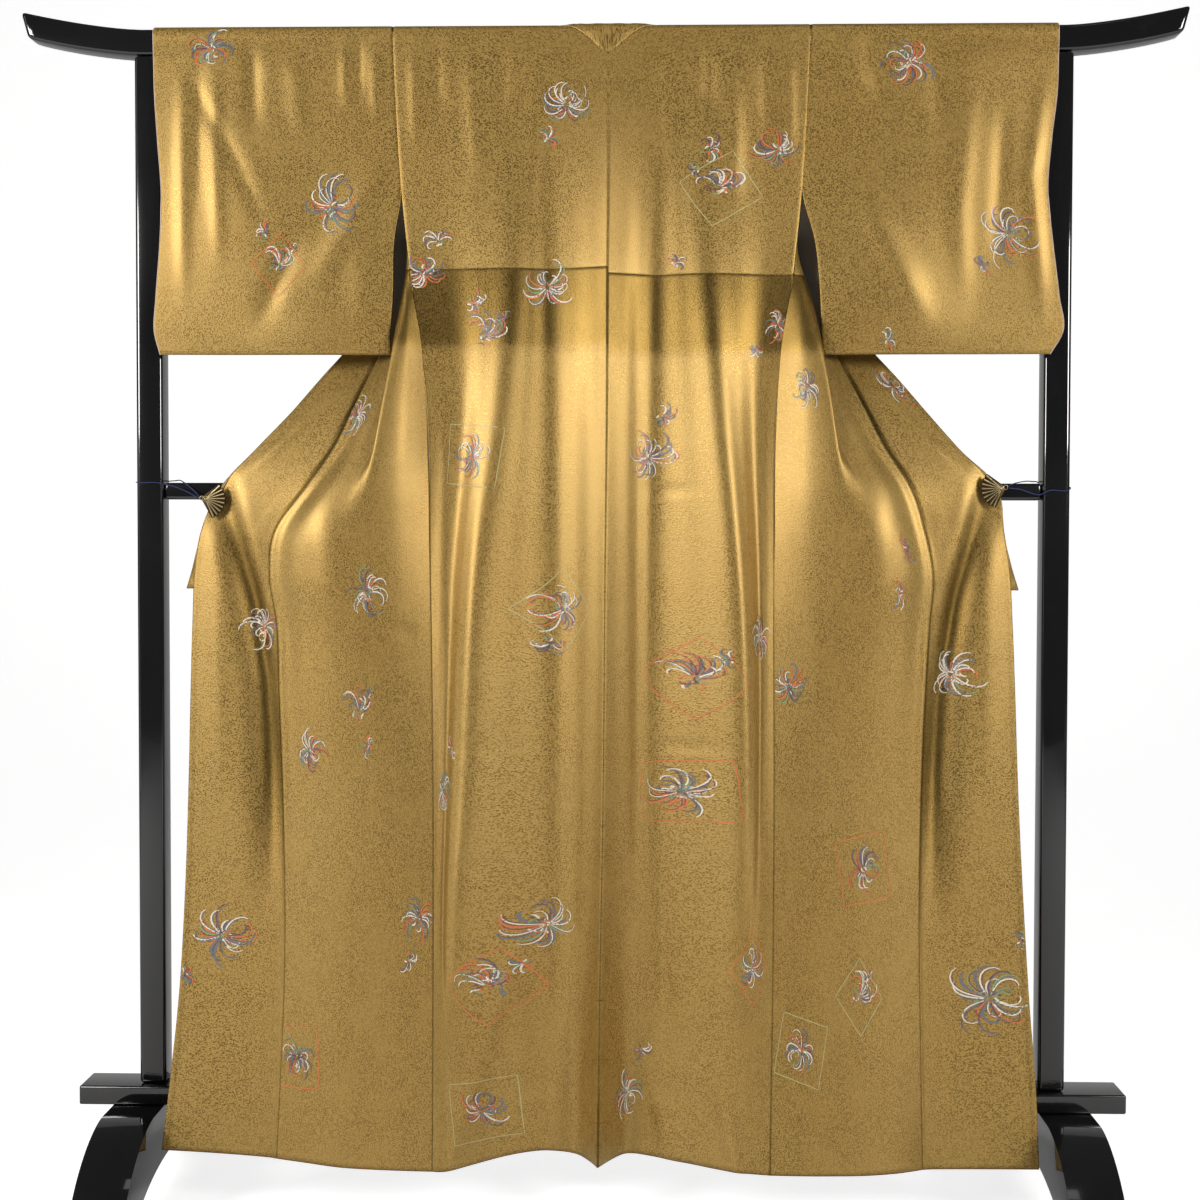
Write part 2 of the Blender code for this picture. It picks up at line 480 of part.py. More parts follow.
def garment(silk):
    body, overlap, sleeve = {}, {}, {}
    rows = len(SKIRT_ROWS) + len(UPPER_ROWS)
    wrap = len(round_rail())
    slit, total = len(SKIRT_ROWS), 2 * rows + wrap
    facing = {"left": -1, "right": 1}
    for side in ("left", "right"):
        body[side] = Panel("body_" + side, body_points(side), -facing[side])
        front = body[side].p[rows + wrap:][::-1]
        tops = [z for z in SKIRT_ROWS + UPPER_ROWS if z <= 140]
        out, fwd = table(OVERLAP[side], tops)
        line = place(side, out, fwd, lifted(tops, HEM_RISE[side][2]))
        knots = np.concatenate((front[:len(tops), -1:], line), axis=1)
        overlap[side] = Panel("okumi_" + side, across(knots, 5), facing[side])
        start = slit + UPPER_ROWS.index(145)
        seam = body[side].p[start:total - start, 0].copy()
        sleeve[side] = Panel("sleeve_" + side, sleeve_points(side, seam), facing[side])

    # Centre back, side, overlap and sleeve seams
    left, right = body["left"], body["right"]
    sew(left, left.edge(range(rows), 10), right, right.edge(range(rows), 10))
    for side in ("left", "right"):
        b, o, s = body[side], overlap[side], sleeve[side]
        low = list(range(slit))
        sew(b, b.edge(low, 0), b, b.edge([total - 1 - i for i in low], 0))
        count = len(o.p)
        sew(b, b.edge([total - 1 - i for i in range(count)], 10), o, o.edge(range(count), 0))
        start, first = slit + UPPER_ROWS.index(145), SLEEVE_ROWS.index(145)
        sew(b, b.edge(range(start, total - start), 0), s, s.edge(range(first, len(s.p) - first), 0))

    collar = collar_panel(body, overlap, rows, wrap, total)
    for panel in [*body.values(), *overlap.values(), *sleeve.values(), collar]:
        panel.solid(silk)


def collar_side(side, body, overlap, rows, wrap, total):
    """Half of the collar band, from its end up to the shoulder and over to the centre back."""
    sign = -1 if side == "left" else 1
    b, o = body[side], overlap[side]
    tops = [z for z in SKIRT_ROWS + UPPER_ROWS if z <= 140]
    known = [[v for step in row[1:] for v in (step[0] * sign, -step[1], 0)] for row in COLLAR]
    heights = [COLLAR_END] + [z for z in SKIRT_ROWS + UPPER_ROWS if z > COLLAR_END]
    steps = smooth(np.array(heights), [row[0] for row in COLLAR], known).reshape(-1, 3, 3) * CM
    sections, matches = [], []
    for z, step in zip(heights, steps):
        if z == COLLAR_END:
            edge = np.array([np.interp(z * CM, o.p[:, -1, 2], o.p[:, -1, k]) for k in range(3)])
            edge = edge + (0, 0.0024, 0)
            matches.append(None)
        elif z <= 140:
            i = tops.index(z)
            edge = o.p[i, -1]
            matches.append((o, i, 4))
        else:
            i = total - 1 - (SKIRT_ROWS + UPPER_ROWS).index(z)
            edge = b.p[i, -1]
            matches.append((b, i, 10))
        sections.append([edge] + [edge + s for s in step])
    for k in range(wrap - 1, -1, -1):
        i = rows + k
        matches.append((b, i, 10))
        sections.append((b.p[i, -1], k))
    return sections, matches


def collar_lap(edge, k, x_inward, columns):
    """One row of the collar round the rail, from its sewn edge at the rail's point k."""
    rail = round_rail(COLLAR_PROUD) + [COLLAR_HANG]
    length = np.concatenate(([0], np.cumsum(np.linalg.norm(np.diff(rail, axis=0), axis=1))))
    marks = np.linspace(length[k], length[-1], columns)
    fwd, z = (np.interp(marks, length, [p[c] for p in rail]) for c in (0, 1))
    fwd[0], z[0] = -edge[1] / CM, edge[2] / CM
    return np.stack((edge[0] + x_inward + 0 * fwd, -fwd * CM, z * CM), axis=-1)


def collar_panel(body, overlap, rows, wrap, total, columns=10):
    """The collar: one band from the left front edge round the neck to the right front edge."""
    apex = (body["left"].p[rows - 1, 10] + body["right"].p[rows - 1, 10]) / 2 + (0, 0, 0.0006)
    halves = {}
    for side in ("left", "right"):
        sections, matches = collar_side(side, body, overlap, rows, wrap, total)
        lines = []
        for section in sections:
            if isinstance(section, list):
                lines.append(across(np.array(section)[None], columns)[0])
                continue
            edge, k = section
            free = apex[0] + (lines[-1 - (wrap - 1 - k)][-1][0] - apex[0]) * (k + 1) / (wrap + 1)
            lines.append(collar_lap(edge, k, np.linspace(0, free - edge[0], columns), columns))
        halves[side] = (lines, matches)
    lines = halves["left"][0] + [collar_lap(apex, 0, 0, columns)] + halves["right"][0][::-1]
    matches = halves["left"][1] + [None] + halves["right"][1][::-1]
    collar = Panel("collar", np.array(lines), -1)
    start = 0
    while start < len(matches):
        if matches[start] is None:
            start += 1
            continue
        end, (panel, _, column) = start, matches[start]
        while end < len(matches) and matches[end] is not None and matches[end][0] is panel:
            end += 1
        rows_there = [m[1] for m in matches[start:end]]
        sew(panel, panel.edge(rows_there, column), collar, collar.edge(range(start, end), 0))
        start = end
    return collar


def extrude_outline(name, outline, y, thick, material):
    """A flat plate: an outline in the X-Z plane, thick along Y."""
    n = len(outline)
    verts = [(u, y + s * thick / 2, v) for s in (-1, 1) for u, v in outline]
    faces = [tuple(range(n)), tuple(range(2 * n - 1, n - 1, -1))]
    faces += [(i, (i + 1) % n, (i + 1) % n + n, i + n) for i in range(n)]
    return make_mesh(name, verts, faces, material)


def round_bar(name, centre, radius, length, material, sides=12):
    """A short round bar along Y."""
    outline = [(centre[0] + radius * math.cos(2 * math.pi * k / sides),
                centre[2] + radius * math.sin(2 * math.pi * k / sides)) for k in range(sides)]
    return extrude_outline(name, outline, centre[1], length, material)


def wire_ring(name, centre, radius, wire, material, sides=20):
    """A round wire ring that lies in the X-Z plane."""
    verts, faces, around = [], [], 8
    for i in range(sides):
        a = 2 * math.pi * i / sides
        for j in range(around):
            b = 2 * math.pi * j / around
            r = radius + wire * math.cos(b)
            x, z = centre[0] + r * math.cos(a), centre[2] + r * math.sin(a)
            verts.append((x, centre[1] + wire * math.sin(b), z))
            k, m = (i + 1) % sides, (j + 1) % around
            faces.append((i * around + j, k * around + j, k * around + m, i * around + m))
    return make_mesh(name, verts, faces, material)


def clip(side, brass):
    """A fan-shaped spring clip: a fan leaf before the edge, a plain leaf behind it, pin and ring."""
    sign = -1 if side == "left" else 1
    x, z, tilt = CLIP[side]
    for name, reach, spread, y, thick in (("clip_fan_", 0.030, 53, FAN_Y, 0.0016),
                                          ("clip_back_", 0.026, 34, BACK_LEAF_Y, 0.0012)):
        angles = [math.radians(tilt - spread + 2 * spread * k / 10) for k in range(11)]
        outline = [(0.0045, -0.003), (0.0045, 0.003)]
        outline += [(-reach * math.cos(a), reach * math.sin(a)) for a in reversed(angles)]
        outline = [(sign * (x + u), z + v) for u, v in outline]
        extrude_outline(name + side, outline, y, thick, brass)
    front, back = FAN_Y + 0.0008 + GAP, BACK_LEAF_Y - 0.0006 - GAP
    round_bar("clip_pin_" + side, (sign * (x + 0.0012), (front + back) / 2, z), 0.0026, back - front, brass)
    ring = (sign * (x + RING_OUT), RING_Y, z + RING_UP)
    wire_ring("clip_ring_" + side, ring, RING_RADIUS, RING_WIRE, brass)


def string_route(side):
    """The string's centre line: from the ring round the post, over the crossbar and back."""
    sign = -1 if side == "left" else 1
    x, z, _ = CLIP[side]
    start_x = x + RING_OUT + RING_RADIUS + RING_WIRE + STRING_RADIUS + GAP
    ring_z, corner, half = z + RING_UP, 0.005, POST_SIDE / 2
    turn = corner + STRING_RADIUS + GAP + 0.0002
    height = STRING_Z[side]
    points = [(start_x, RING_Y, ring_z - 0.0012),
              (start_x + 0.012, RING_Y - 0.0008, ring_z + (height - ring_z) * 0.3)]
    corners = ((-1, -1, (235, 252, 270)), (1, -1, (270, 300, 330, 360)), (1, 1, (0, 30, 60, 90)),
               (-1, 1, (90, 110, 130, 150)))
    turns = sum(len(c[2]) for c in corners)
    for sx, sy, angles in corners:
        for a in angles:
            rise = (STRING_OVER_BAR - height) * (len(points) - 2) / (turns - 1)
            points.append((POST_X + sx * (half - corner) + turn * math.cos(math.radians(a)),
                           sy * (half - corner) + turn * math.sin(math.radians(a)), height + rise))
    points += [(0.6200, 0.0110, STRING_OVER_BAR + 0.0002), (0.6120, 0.0, STRING_OVER_BAR + 0.0004),
               (0.6030, -0.0130, STRING_OVER_BAR - 0.0004),
               (start_x + 0.009, RING_Y + 0.0046, (STRING_OVER_BAR + 2 * ring_z) / 3 + 0.0026),
               (start_x + 0.0004, RING_Y + 0.0022, ring_z + 0.0026)]
    points = np.array([(sign * p[0], p[1], p[2]) for p in points])
    length = np.concatenate(([0], np.cumsum(np.linalg.norm(np.diff(points, axis=0), axis=1))))
    return smooth(np.linspace(0, length[-1], STRING_POINTS), length, points)


def string(side, material):
    route = string_route(side)
    curve = bpy.data.curves.new("string_" + side, "CURVE")
    curve.dimensions = "3D"
    curve.bevel_depth, curve.bevel_resolution = STRING_RADIUS, 2
    curve.use_fill_caps = True
    spline = curve.splines.new("POLY")
    spline.points.add(len(route) - 1)
    for point, place_at in zip(spline.points, route):
        point.co = (*place_at, 1)
    curve.materials.append(material)
    obj = bpy.data.objects.new("string_" + side, curve)
    bpy.context.scene.collection.objects.link(obj)


def build():
    for obj in list(bpy.data.objects):
        bpy.data.objects.remove(obj, do_unlink=True)
    lacquer, silk = make_material("black_lacquer", LACQUER), make_material("gold_silk", SILK)
    brass, string_material = make_material("brass", BRASS), make_material("blue_string", STRING)
    stand(lacquer)
    garment(silk)
    for side in ("left", "right"):
        clip(side, brass)
        string(side, string_material)


build()
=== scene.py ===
# %% [markdown]
# # A silk kimono on its lacquered stand
#
# The garment hangs by its sleeves over the top rail of a black stand, with its back towards the
# viewer. Two brass clips, tied to the posts, draw the front edges out, so that the outer faces of
# the front panels show on both sides of the back.
#
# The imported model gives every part's place. This lesson dresses it: cloth with folds, woven
# figures, linings, seams, lacquer, brass and string.

# %% Load the frame
import math
import random

import bpy
import numpy as np
from mathutils import Euler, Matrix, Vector


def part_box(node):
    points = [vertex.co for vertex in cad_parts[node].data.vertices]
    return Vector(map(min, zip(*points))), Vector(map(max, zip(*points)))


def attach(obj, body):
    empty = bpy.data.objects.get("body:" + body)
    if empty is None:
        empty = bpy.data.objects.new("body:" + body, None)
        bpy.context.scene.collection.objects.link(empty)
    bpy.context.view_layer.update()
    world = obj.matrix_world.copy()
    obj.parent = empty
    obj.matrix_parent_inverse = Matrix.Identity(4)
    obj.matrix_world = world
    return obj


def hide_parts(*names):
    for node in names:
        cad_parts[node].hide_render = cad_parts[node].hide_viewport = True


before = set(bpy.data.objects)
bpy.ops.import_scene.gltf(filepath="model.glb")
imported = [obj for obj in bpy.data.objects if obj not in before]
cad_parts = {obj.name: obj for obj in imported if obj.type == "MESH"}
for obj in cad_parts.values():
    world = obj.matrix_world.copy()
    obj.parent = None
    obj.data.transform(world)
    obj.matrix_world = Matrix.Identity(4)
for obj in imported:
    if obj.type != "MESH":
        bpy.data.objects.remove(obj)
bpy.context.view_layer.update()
CM = 0.01
MM = 0.001

# %% [markdown]
# ## Camera, floor and light
#
# The camera stands a little to the right of the middle, 2.45 m in front, at chest height, with a
# short portrait lens. A floor that sweeps up behind the stand gives a plain pale ground, and wide
# soft lamps on the left and right model the folds.

# %% Camera
camera_data = bpy.data.cameras.new("camera")
camera_data.lens = 51.1
camera_data.sensor_width = 36.0
camera = bpy.data.objects.new("camera", camera_data)
camera.location = (0.058, -2.45, 0.941)
camera.rotation_euler = Euler((math.radians(90 - 1.629), 0, math.radians(1.369)), "XYZ")
camera.rotation_euler.rotate_axis("Z", math.radians(0.108))
bpy.context.scene.collection.objects.link(camera)
bpy.context.scene.camera = camera
bpy.context.scene.view_settings.view_transform = "Standard"
print("camera at", tuple(camera.location))


# %% Floor and lamps
def plain(name, colour, roughness=0.5, metallic=0.0, emission=0.0):
    """A material with one even finish, to be given detail later."""
    material = bpy.data.materials.new(name)
    material.use_nodes = True
    shader = material.node_tree.nodes["Principled BSDF"]
    shader.inputs["Base Color"].default_value = (*colour, 1)
    shader.inputs["Roughness"].default_value = roughness
    shader.inputs["Metallic"].default_value = metallic
    shader.inputs["Emission Color"].default_value = (*colour, 1)
    shader.inputs["Emission Strength"].default_value = emission
    return material, shader


def mesh_object(name, verts, faces, materials):
    mesh = bpy.data.meshes.new(name)
    mesh.from_pydata([tuple(v) for v in verts], [], [tuple(int(k) for k in f) for f in faces])
    for material in materials:
        mesh.materials.append(material)
    obj = bpy.data.objects.new(name, mesh)
    bpy.context.scene.collection.objects.link(obj)
    return obj


def lamp(name, place, aim, size, power, warmth=(1.0, 0.98, 0.95)):
    """A soft rectangular lamp, turned to face a point."""
    data = bpy.data.lights.new(name, "AREA")
    data.shape = "RECTANGLE"
    data.size, data.size_y = size
    data.energy = power
    data.color = warmth
    obj = bpy.data.objects.new(name, data)
    obj.location = place
    obj.rotation_euler = (Vector(aim) - Vector(place)).to_track_quat("-Z", "Y").to_euler()
    bpy.context.scene.collection.objects.link(obj)


floor_paint, floor_shader = plain("pale_floor", (0.80, 0.80, 0.80), 0.6)
seen = floor_paint.node_tree.nodes.new("ShaderNodeLightPath")
glow = floor_paint.node_tree.nodes.new("ShaderNodeMapRange")
glow.inputs["To Min"].default_value = 0.16
glow.inputs["To Max"].default_value = 0.95
floor_paint.node_tree.links.new(seen.outputs["Is Camera Ray"], glow.inputs["Value"])
floor_paint.node_tree.links.new(glow.outputs["Result"], floor_shader.inputs["Emission Strength"])
sweep = [(-4.0, 0.0), (4.2, 0.0)]
sweep += [(4.2 + 1.2 * math.sin(a), 1.2 - 1.2 * math.cos(a)) for a in np.radians(range(10, 91, 10))]
sweep += [(5.4, 6.0)]
sides = [(x, y, z) for x in (-6.0, 6.0) for y, z in sweep]
count = len(sweep)
floor = mesh_object("floor", sides, [(k, k + 1, k + 1 + count, k + count) for k in range(count - 1)],
                    [floor_paint])
floor.data.polygons.foreach_set("use_smooth", [True] * (count - 1))

world = bpy.data.worlds.new("studio")
bpy.context.scene.world = world
world.use_nodes = True
world.node_tree.nodes["Background"].inputs["Color"].default_value = (0.95, 0.97, 1.0, 1)
world.node_tree.nodes["Background"].inputs["Strength"].default_value = 0.10

lamp("key", (-2.45, -2.3, 1.85), (0, 0, 0.8), (1.0, 0.9), 74)
lamp("fill", (2.45, -2.25, 1.75), (0, 0, 0.75), (0.9, 0.8), 62)
lamp("top", (0, -1.2, 3.4), (0, 0, 1.2), (2.2, 0.5), 4)
lamp("left_strip", (-2.3, -0.9, 1.3), (-0.5, 0, 1.0), (0.25, 2.2), 5)

# %% [markdown]
# ## Finishes
#
# The cloth is gold silk with a figured satin weave: a ground that shines softly, with fine dots of
# darker threads that thicken and thin in soft clouds, and fine brighter flecks that are painted
# glints. One node group makes that weave and darkens it by the cloth's tone map, which holds
# painted shade, and each silk is given its own colours. The cloth carries its own map in metres, so
# the threads follow the folds. A second group gives lacquer and brass their handling marks.


# %% Helpers for node groups
def new_group(name, takes, gives):
    """A node group with named sockets: floats by default, colours and vectors where said."""
    group = bpy.data.node_groups.new(name, "ShaderNodeTree")
    kinds = {"float": "NodeSocketFloat", "colour": "NodeSocketColor", "vector": "NodeSocketVector"}
    for direction, sockets in (("INPUT", takes), ("OUTPUT", gives)):
        for label, kind in sockets:
            group.interface.new_socket(name=label, in_out=direction, socket_type=kinds[kind])
    return group, group.nodes.new("NodeGroupInput"), group.nodes.new("NodeGroupOutput")


def noise(tree, vector, scale, detail=2.0, roughness=0.5):
    node = tree.nodes.new("ShaderNodeTexNoise")
    node.inputs["Scale"].default_value = scale
    node.inputs["Detail"].default_value = detail
    node.inputs["Roughness"].default_value = roughness
    tree.links.new(vector, node.inputs["Vector"])
    return node.outputs["Fac"]


def ramp(tree, value, low, high, to_low=0.0, to_high=1.0):
    """Spreads value between low and high over to_low and to_high, smoothly."""
    node = tree.nodes.new("ShaderNodeMapRange")
    node.interpolation_type = "SMOOTHSTEP"
    for label, number in (("From Min", low), ("From Max", high), ("To Min", to_low), ("To Max", to_high)):
        node.inputs[label].default_value = number
    tree.links.new(value, node.inputs["Value"])
    return node.outputs["Result"]


def blend(tree, share, first, second, kind="MIX"):
    """Mixes two colours. Each may be a socket or three numbers."""
    node = tree.nodes.new("ShaderNodeMix")
    node.data_type = "RGBA"
    node.blend_type = kind
    for socket, value in ((node.inputs[0], share), (node.inputs[6], first), (node.inputs[7], second)):
        if isinstance(value, (int, float)):
            socket.default_value = value
        elif isinstance(value, tuple):
            socket.default_value = (*value, 1)
        else:
            tree.links.new(value, socket)
    return node.outputs[2]


def maths(tree, kind, first, second):
    node = tree.nodes.new("ShaderNodeMath")
    node.operation = kind
    for socket, value in zip(node.inputs, (first, second)):
        if isinstance(value, (int, float)):
            socket.default_value = value
        else:
            tree.links.new(value, socket)
    return node.outputs[0]


def place_group(tree, group, **values):
    node = tree.nodes.new("ShaderNodeGroup")
    node.node_tree = group
    for label, value in values.items():
        socket = node.inputs[label.replace("_", " ")]
        if isinstance(value, tuple):
            socket.default_value = (*value, 1)
        elif isinstance(value, (int, float)):
            socket.default_value = value
        else:
            tree.links.new(value, socket)
    return node


def bump(tree, shader, height, strength, distance):
    node = tree.nodes.new("ShaderNodeBump")
    node.inputs["Strength"].default_value = strength
    node.inputs["Distance"].default_value = distance
    tree.links.new(height, node.inputs["Height"])
    tree.links.new(node.outputs["Normal"], shader.inputs["Normal"])


# %% The figured weave
WEAVE, weave_in, weave_out = new_group(
    "figured_weave",
    [("Vector", "vector"), ("Tone", "float"), ("Ground", "colour"), ("Figure", "colour"),
     ("Bright Thread", "colour"), ("Warm Ground", "colour"), ("Figure Share", "float")],
    [("Color", "colour"), ("Roughness", "float"), ("Metallic", "float"), ("Height", "float")])
cloth_place = weave_in.outputs["Vector"]
wander = WEAVE.nodes.new("ShaderNodeTexNoise")
wander.inputs["Scale"].default_value = 560.0
WEAVE.links.new(cloth_place, wander.inputs["Vector"])
shift = WEAVE.nodes.new("ShaderNodeVectorMath")
shift.operation = "MULTIPLY_ADD"
shift.inputs[1].default_value = (0.0017, 0.0017, 0.0)
WEAVE.links.new(wander.outputs["Color"], shift.inputs[0])
WEAVE.links.new(cloth_place, shift.inputs[2])
pebbles = WEAVE.nodes.new("ShaderNodeTexVoronoi")
pebbles.inputs["Scale"].default_value = 500.0
WEAVE.links.new(shift.outputs[0], pebbles.inputs["Vector"])
thread = noise(WEAVE, cloth_place, 900.0, 2.0, 0.6)
cloud = noise(WEAVE, cloth_place, 14.0, 3.0, 0.6)
drift = noise(WEAVE, cloth_place, 3.1, 2.0, 0.5)
figure = ramp(WEAVE, pebbles.outputs["Distance"], 0.56, 0.34)
figure = maths(WEAVE, "MULTIPLY", figure, ramp(WEAVE, cloud, 0.30, 0.60, 0.55, 1.0))
figure = maths(WEAVE, "MULTIPLY", figure, weave_in.outputs["Figure Share"])
shade = blend(WEAVE, ramp(WEAVE, drift, 0.40, 0.64, 0.0, 0.8), weave_in.outputs["Ground"],
              weave_in.outputs["Warm Ground"])
shade = blend(WEAVE, figure, shade, weave_in.outputs["Figure"])
# Brighter flecks from the fine thread noise are painted glints.
shade = blend(WEAVE, ramp(WEAVE, thread, 0.48, 0.68, 0.0, 0.6), shade, weave_in.outputs["Bright Thread"])
# The Tone input is painted shade: it darkens the colour here, and further down it raises the metal share.
toned = WEAVE.nodes.new("ShaderNodeVectorMath")
toned.operation = "SCALE"
WEAVE.links.new(shade, toned.inputs[0])
WEAVE.links.new(weave_in.outputs["Tone"], toned.inputs["Scale"])
WEAVE.links.new(toned.outputs[0], weave_out.inputs["Color"])
WEAVE.links.new(ramp(WEAVE, figure, 0.0, 1.0, 0.44, 0.33), weave_out.inputs["Roughness"])
shaded = ramp(WEAVE, weave_in.outputs["Tone"], 1.0, 0.5, 0.0, 0.5)
shine = ramp(WEAVE, figure, 0.0, 1.0, 0.42, 0.74)
WEAVE.links.new(maths(WEAVE, "ADD", shine, shaded), weave_out.inputs["Metallic"])
WEAVE.links.new(maths(WEAVE, "ADD", thread, figure), weave_out.inputs["Height"])


def silk(name, ground, figure, painted_glint, warm, share=1.0, relief=0.2):
    """A silk in its own colours, darkened by the cloth's own tone map, which holds painted shade."""
    material, shader = plain(name, ground, 0.42)
    tree = material.node_tree
    cloth_map = tree.nodes.new("ShaderNodeUVMap")
    cloth_map.uv_map = "cloth"
    tone = tree.nodes.new("ShaderNodeAttribute")
    tone.attribute_name = "tone"
    node = place_group(tree, WEAVE, Vector=cloth_map.outputs["UV"], Tone=tone.outputs["Fac"], Ground=ground,
                       Figure=figure, Bright_Thread=painted_glint, Warm_Ground=warm, Figure_Share=share)
    tree.links.new(node.outputs["Color"], shader.inputs["Base Color"])
    tree.links.new(node.outputs["Roughness"], shader.inputs["Roughness"])
    if share > 0.5:
        tree.links.new(node.outputs["Metallic"], shader.inputs["Metallic"])
    bump(tree, shader, node.outputs["Height"], relief, 0.0004)
    return material


gold_silk = silk("gold_figured_silk", (0.375, 0.236, 0.058), (0.205, 0.118, 0.023), (0.60, 0.42, 0.15),
                 (0.37, 0.222, 0.050))
pale_lining = silk("pale_lining", (0.66, 0.58, 0.46), (0.58, 0.50, 0.39), (0.72, 0.65, 0.53),
                   (0.64, 0.54, 0.42), 0.2, 0.08)
russet_lining = silk("russet_lining", (0.17, 0.055, 0.035), (0.13, 0.04, 0.026), (0.22, 0.08, 0.05),
                     (0.15, 0.05, 0.03), 0.2, 0.08)
# The side seams' rolls are silk painted dark: painted shade at the side seam's fold.
seam_silk = plain("seam_fold", (0.17, 0.10, 0.03), 0.5)[0]
russet_roll = plain("russet_roll", (0.15, 0.05, 0.03), 0.5)[0]
cuff_lining = plain("pink_cuff_lining", (0.62, 0.47, 0.40), 0.5)[0]

# %% The coloured figure threads
figure_silk, figure_shader = plain("figure_threads", (0.8, 0.75, 0.65), 0.38)
figure_colour = figure_silk.node_tree.nodes.new("ShaderNodeAttribute")
figure_colour.attribute_name = "thread"
object_map = figure_silk.node_tree.nodes.new("ShaderNodeTexCoord")
fine = noise(figure_silk.node_tree, object_map.outputs["Object"], 1400.0, 1.0)
flecks = blend(figure_silk.node_tree, ramp(figure_silk.node_tree, fine, 0.40, 0.62, 0.0, 0.55),
               figure_colour.outputs["Color"], (0.30, 0.20, 0.08))
figure_silk.node_tree.links.new(flecks, figure_shader.inputs["Base Color"])
bump(figure_silk.node_tree, figure_shader, fine, 0.2, 0.0004)

# %% Lacquer, brass and string
HANDLING, handling_in, handling_out = new_group(
    "handling_marks", [("Vector", "vector"), ("Scale", "float")],
    [("Dust", "float"), ("Smear", "float"), ("Height", "float")])
scaled = HANDLING.nodes.new("ShaderNodeVectorMath")
scaled.operation = "SCALE"
HANDLING.links.new(handling_in.outputs["Vector"], scaled.inputs[0])
HANDLING.links.new(handling_in.outputs["Scale"], scaled.inputs["Scale"])
HANDLING.links.new(ramp(HANDLING, noise(HANDLING, scaled.outputs[0], 40.0, 4.0, 0.7), 0.56, 0.76),
                   handling_out.inputs["Dust"])
HANDLING.links.new(noise(HANDLING, scaled.outputs[0], 2.6, 3.0), handling_out.inputs["Smear"])
HANDLING.links.new(noise(HANDLING, scaled.outputs[0], 90.0, 1.0), handling_out.inputs["Height"])


def marked(name, colour, worn, roughness, metallic, scale, relief):
    """A hard finish with dust, smears and a faint unevenness."""
    material, shader = plain(name, colour, roughness[0], metallic)
    tree = material.node_tree
    coords = tree.nodes.new("ShaderNodeTexCoord")
    marks = place_group(tree, HANDLING, Vector=coords.outputs["Object"], Scale=scale)
    share = maths(tree, "MULTIPLY", marks.outputs["Dust"], 0.5)
    share = maths(tree, "ADD", share, ramp(tree, marks.outputs["Smear"], 0.4, 0.7, 0.0, 0.4))
    tree.links.new(blend(tree, share, colour, worn), shader.inputs["Base Color"])
    tree.links.new(ramp(tree, marks.outputs["Smear"], 0.35, 0.7, *roughness), shader.inputs["Roughness"])
    bump(tree, shader, marks.outputs["Height"], relief, 0.0004)
    return material, shader


lacquer, lacquer_shader = marked("black_lacquer", (0.0035, 0.0035, 0.004), (0.010, 0.010, 0.011),
                                 (0.05, 0.14), 0.0, 1.0, 0.03)
lacquer_shader.inputs["Coat Weight"].default_value = 0.6
lacquer_shader.inputs["Coat Roughness"].default_value = 0.04
brass, _ = marked("antique_brass", (0.60, 0.49, 0.28), (0.20, 0.14, 0.07), (0.22, 0.40), 1.0, 9.0, 0.15)
# The fan's leaf is brass painted dark: painted shade between the ribs.
dark_brass, _ = marked("shaded_brass", (0.055, 0.035, 0.015), (0.04, 0.026, 0.012), (0.45, 0.6), 1.0, 9.0,
                       0.15)
blue_string, string_shader = plain("indigo_string", (0.012, 0.016, 0.075), 0.75)
string_coords = blue_string.node_tree.nodes.new("ShaderNodeTexCoord")
strands = noise(blue_string.node_tree, string_coords.outputs["Object"], 1500.0, 2.0)
twist = blend(blue_string.node_tree, ramp(blue_string.node_tree, strands, 0.42, 0.60), (0.008, 0.011, 0.05),
              (0.035, 0.045, 0.16))
blue_string.node_tree.links.new(twist, string_shader.inputs["Base Color"])
bump(blue_string.node_tree, string_shader, strands, 0.5, 0.0004)
print("finishes:", [m.name for m in bpy.data.materials if m.users or m.name.endswith("silk")])

# %% [markdown]
# ## The stand
#
# Every piece of the stand is a lacquered bar with softly rounded edges. Each one starts as a cube
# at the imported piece's own box, is cut into steps along its length where it curves, and gets its
# round edges from a Bevel modifier. The rail's ends rise and are cut slanting, and each foot is a
# bar bowed into an arch.


# %% A bar made from a cube
def only(obj):
    """Selects one object and nothing else."""
    for other in bpy.context.selected_objects:
        other.select_set(False)
    obj.select_set(True)
    bpy.context.view_layer.objects.active = obj


def settle(obj):
    """Moves the object's place into its mesh."""
    only(obj)
    bpy.ops.object.transform_apply(location=True, rotation=True, scale=True)


def finish_piece(obj, *replaced, material=None, slot="black_lacquer"):
    """Gives the piece its finish, rounds its shading and puts it on the frame."""
    settle(obj)
    if material is not None:
        obj.data.materials.clear()
        obj.data.materials.append(material)
    only(obj)
    bpy.ops.object.shade_smooth_by_angle(angle=math.radians(38))
    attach(obj, "root")
    if replaced:
        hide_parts(*replaced)
    return obj


def bar_from_cube(node, name, steps=0, axis=0):
    """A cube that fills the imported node's box, cut into steps along one axis."""
    low, high = (Vector(corner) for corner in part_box(node))
    only(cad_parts[node])
    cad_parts[node].select_set(False)
    bpy.ops.mesh.primitive_cube_add(size=1, location=(low + high) / 2)
    obj = bpy.context.object
    obj.name = obj.data.name = name
    obj.scale = high - low
    settle(obj)
    bpy.ops.object.mode_set(mode="EDIT")
    for k in range(1, steps):
        cut = low[axis] + (high[axis] - low[axis]) * k / steps
        bpy.ops.mesh.select_all(action="SELECT")
        normal = [0, 0, 0]
        normal[axis] = 1
        bpy.ops.mesh.bisect(plane_co=[cut if a == axis else 0 for a in range(3)], plane_no=normal)
    bpy.ops.object.mode_set(mode="OBJECT")
    return obj


def round_edges(obj, width, segments=5, angle=40):
    bevel = obj.modifiers.new("round_edges", "BEVEL")
    bevel.width = width
    bevel.segments = segments
    bevel.limit_method = "ANGLE"
    bevel.angle_limit = math.radians(angle)
    only(obj)
    bpy.ops.object.modifier_apply(modifier=bevel.name)


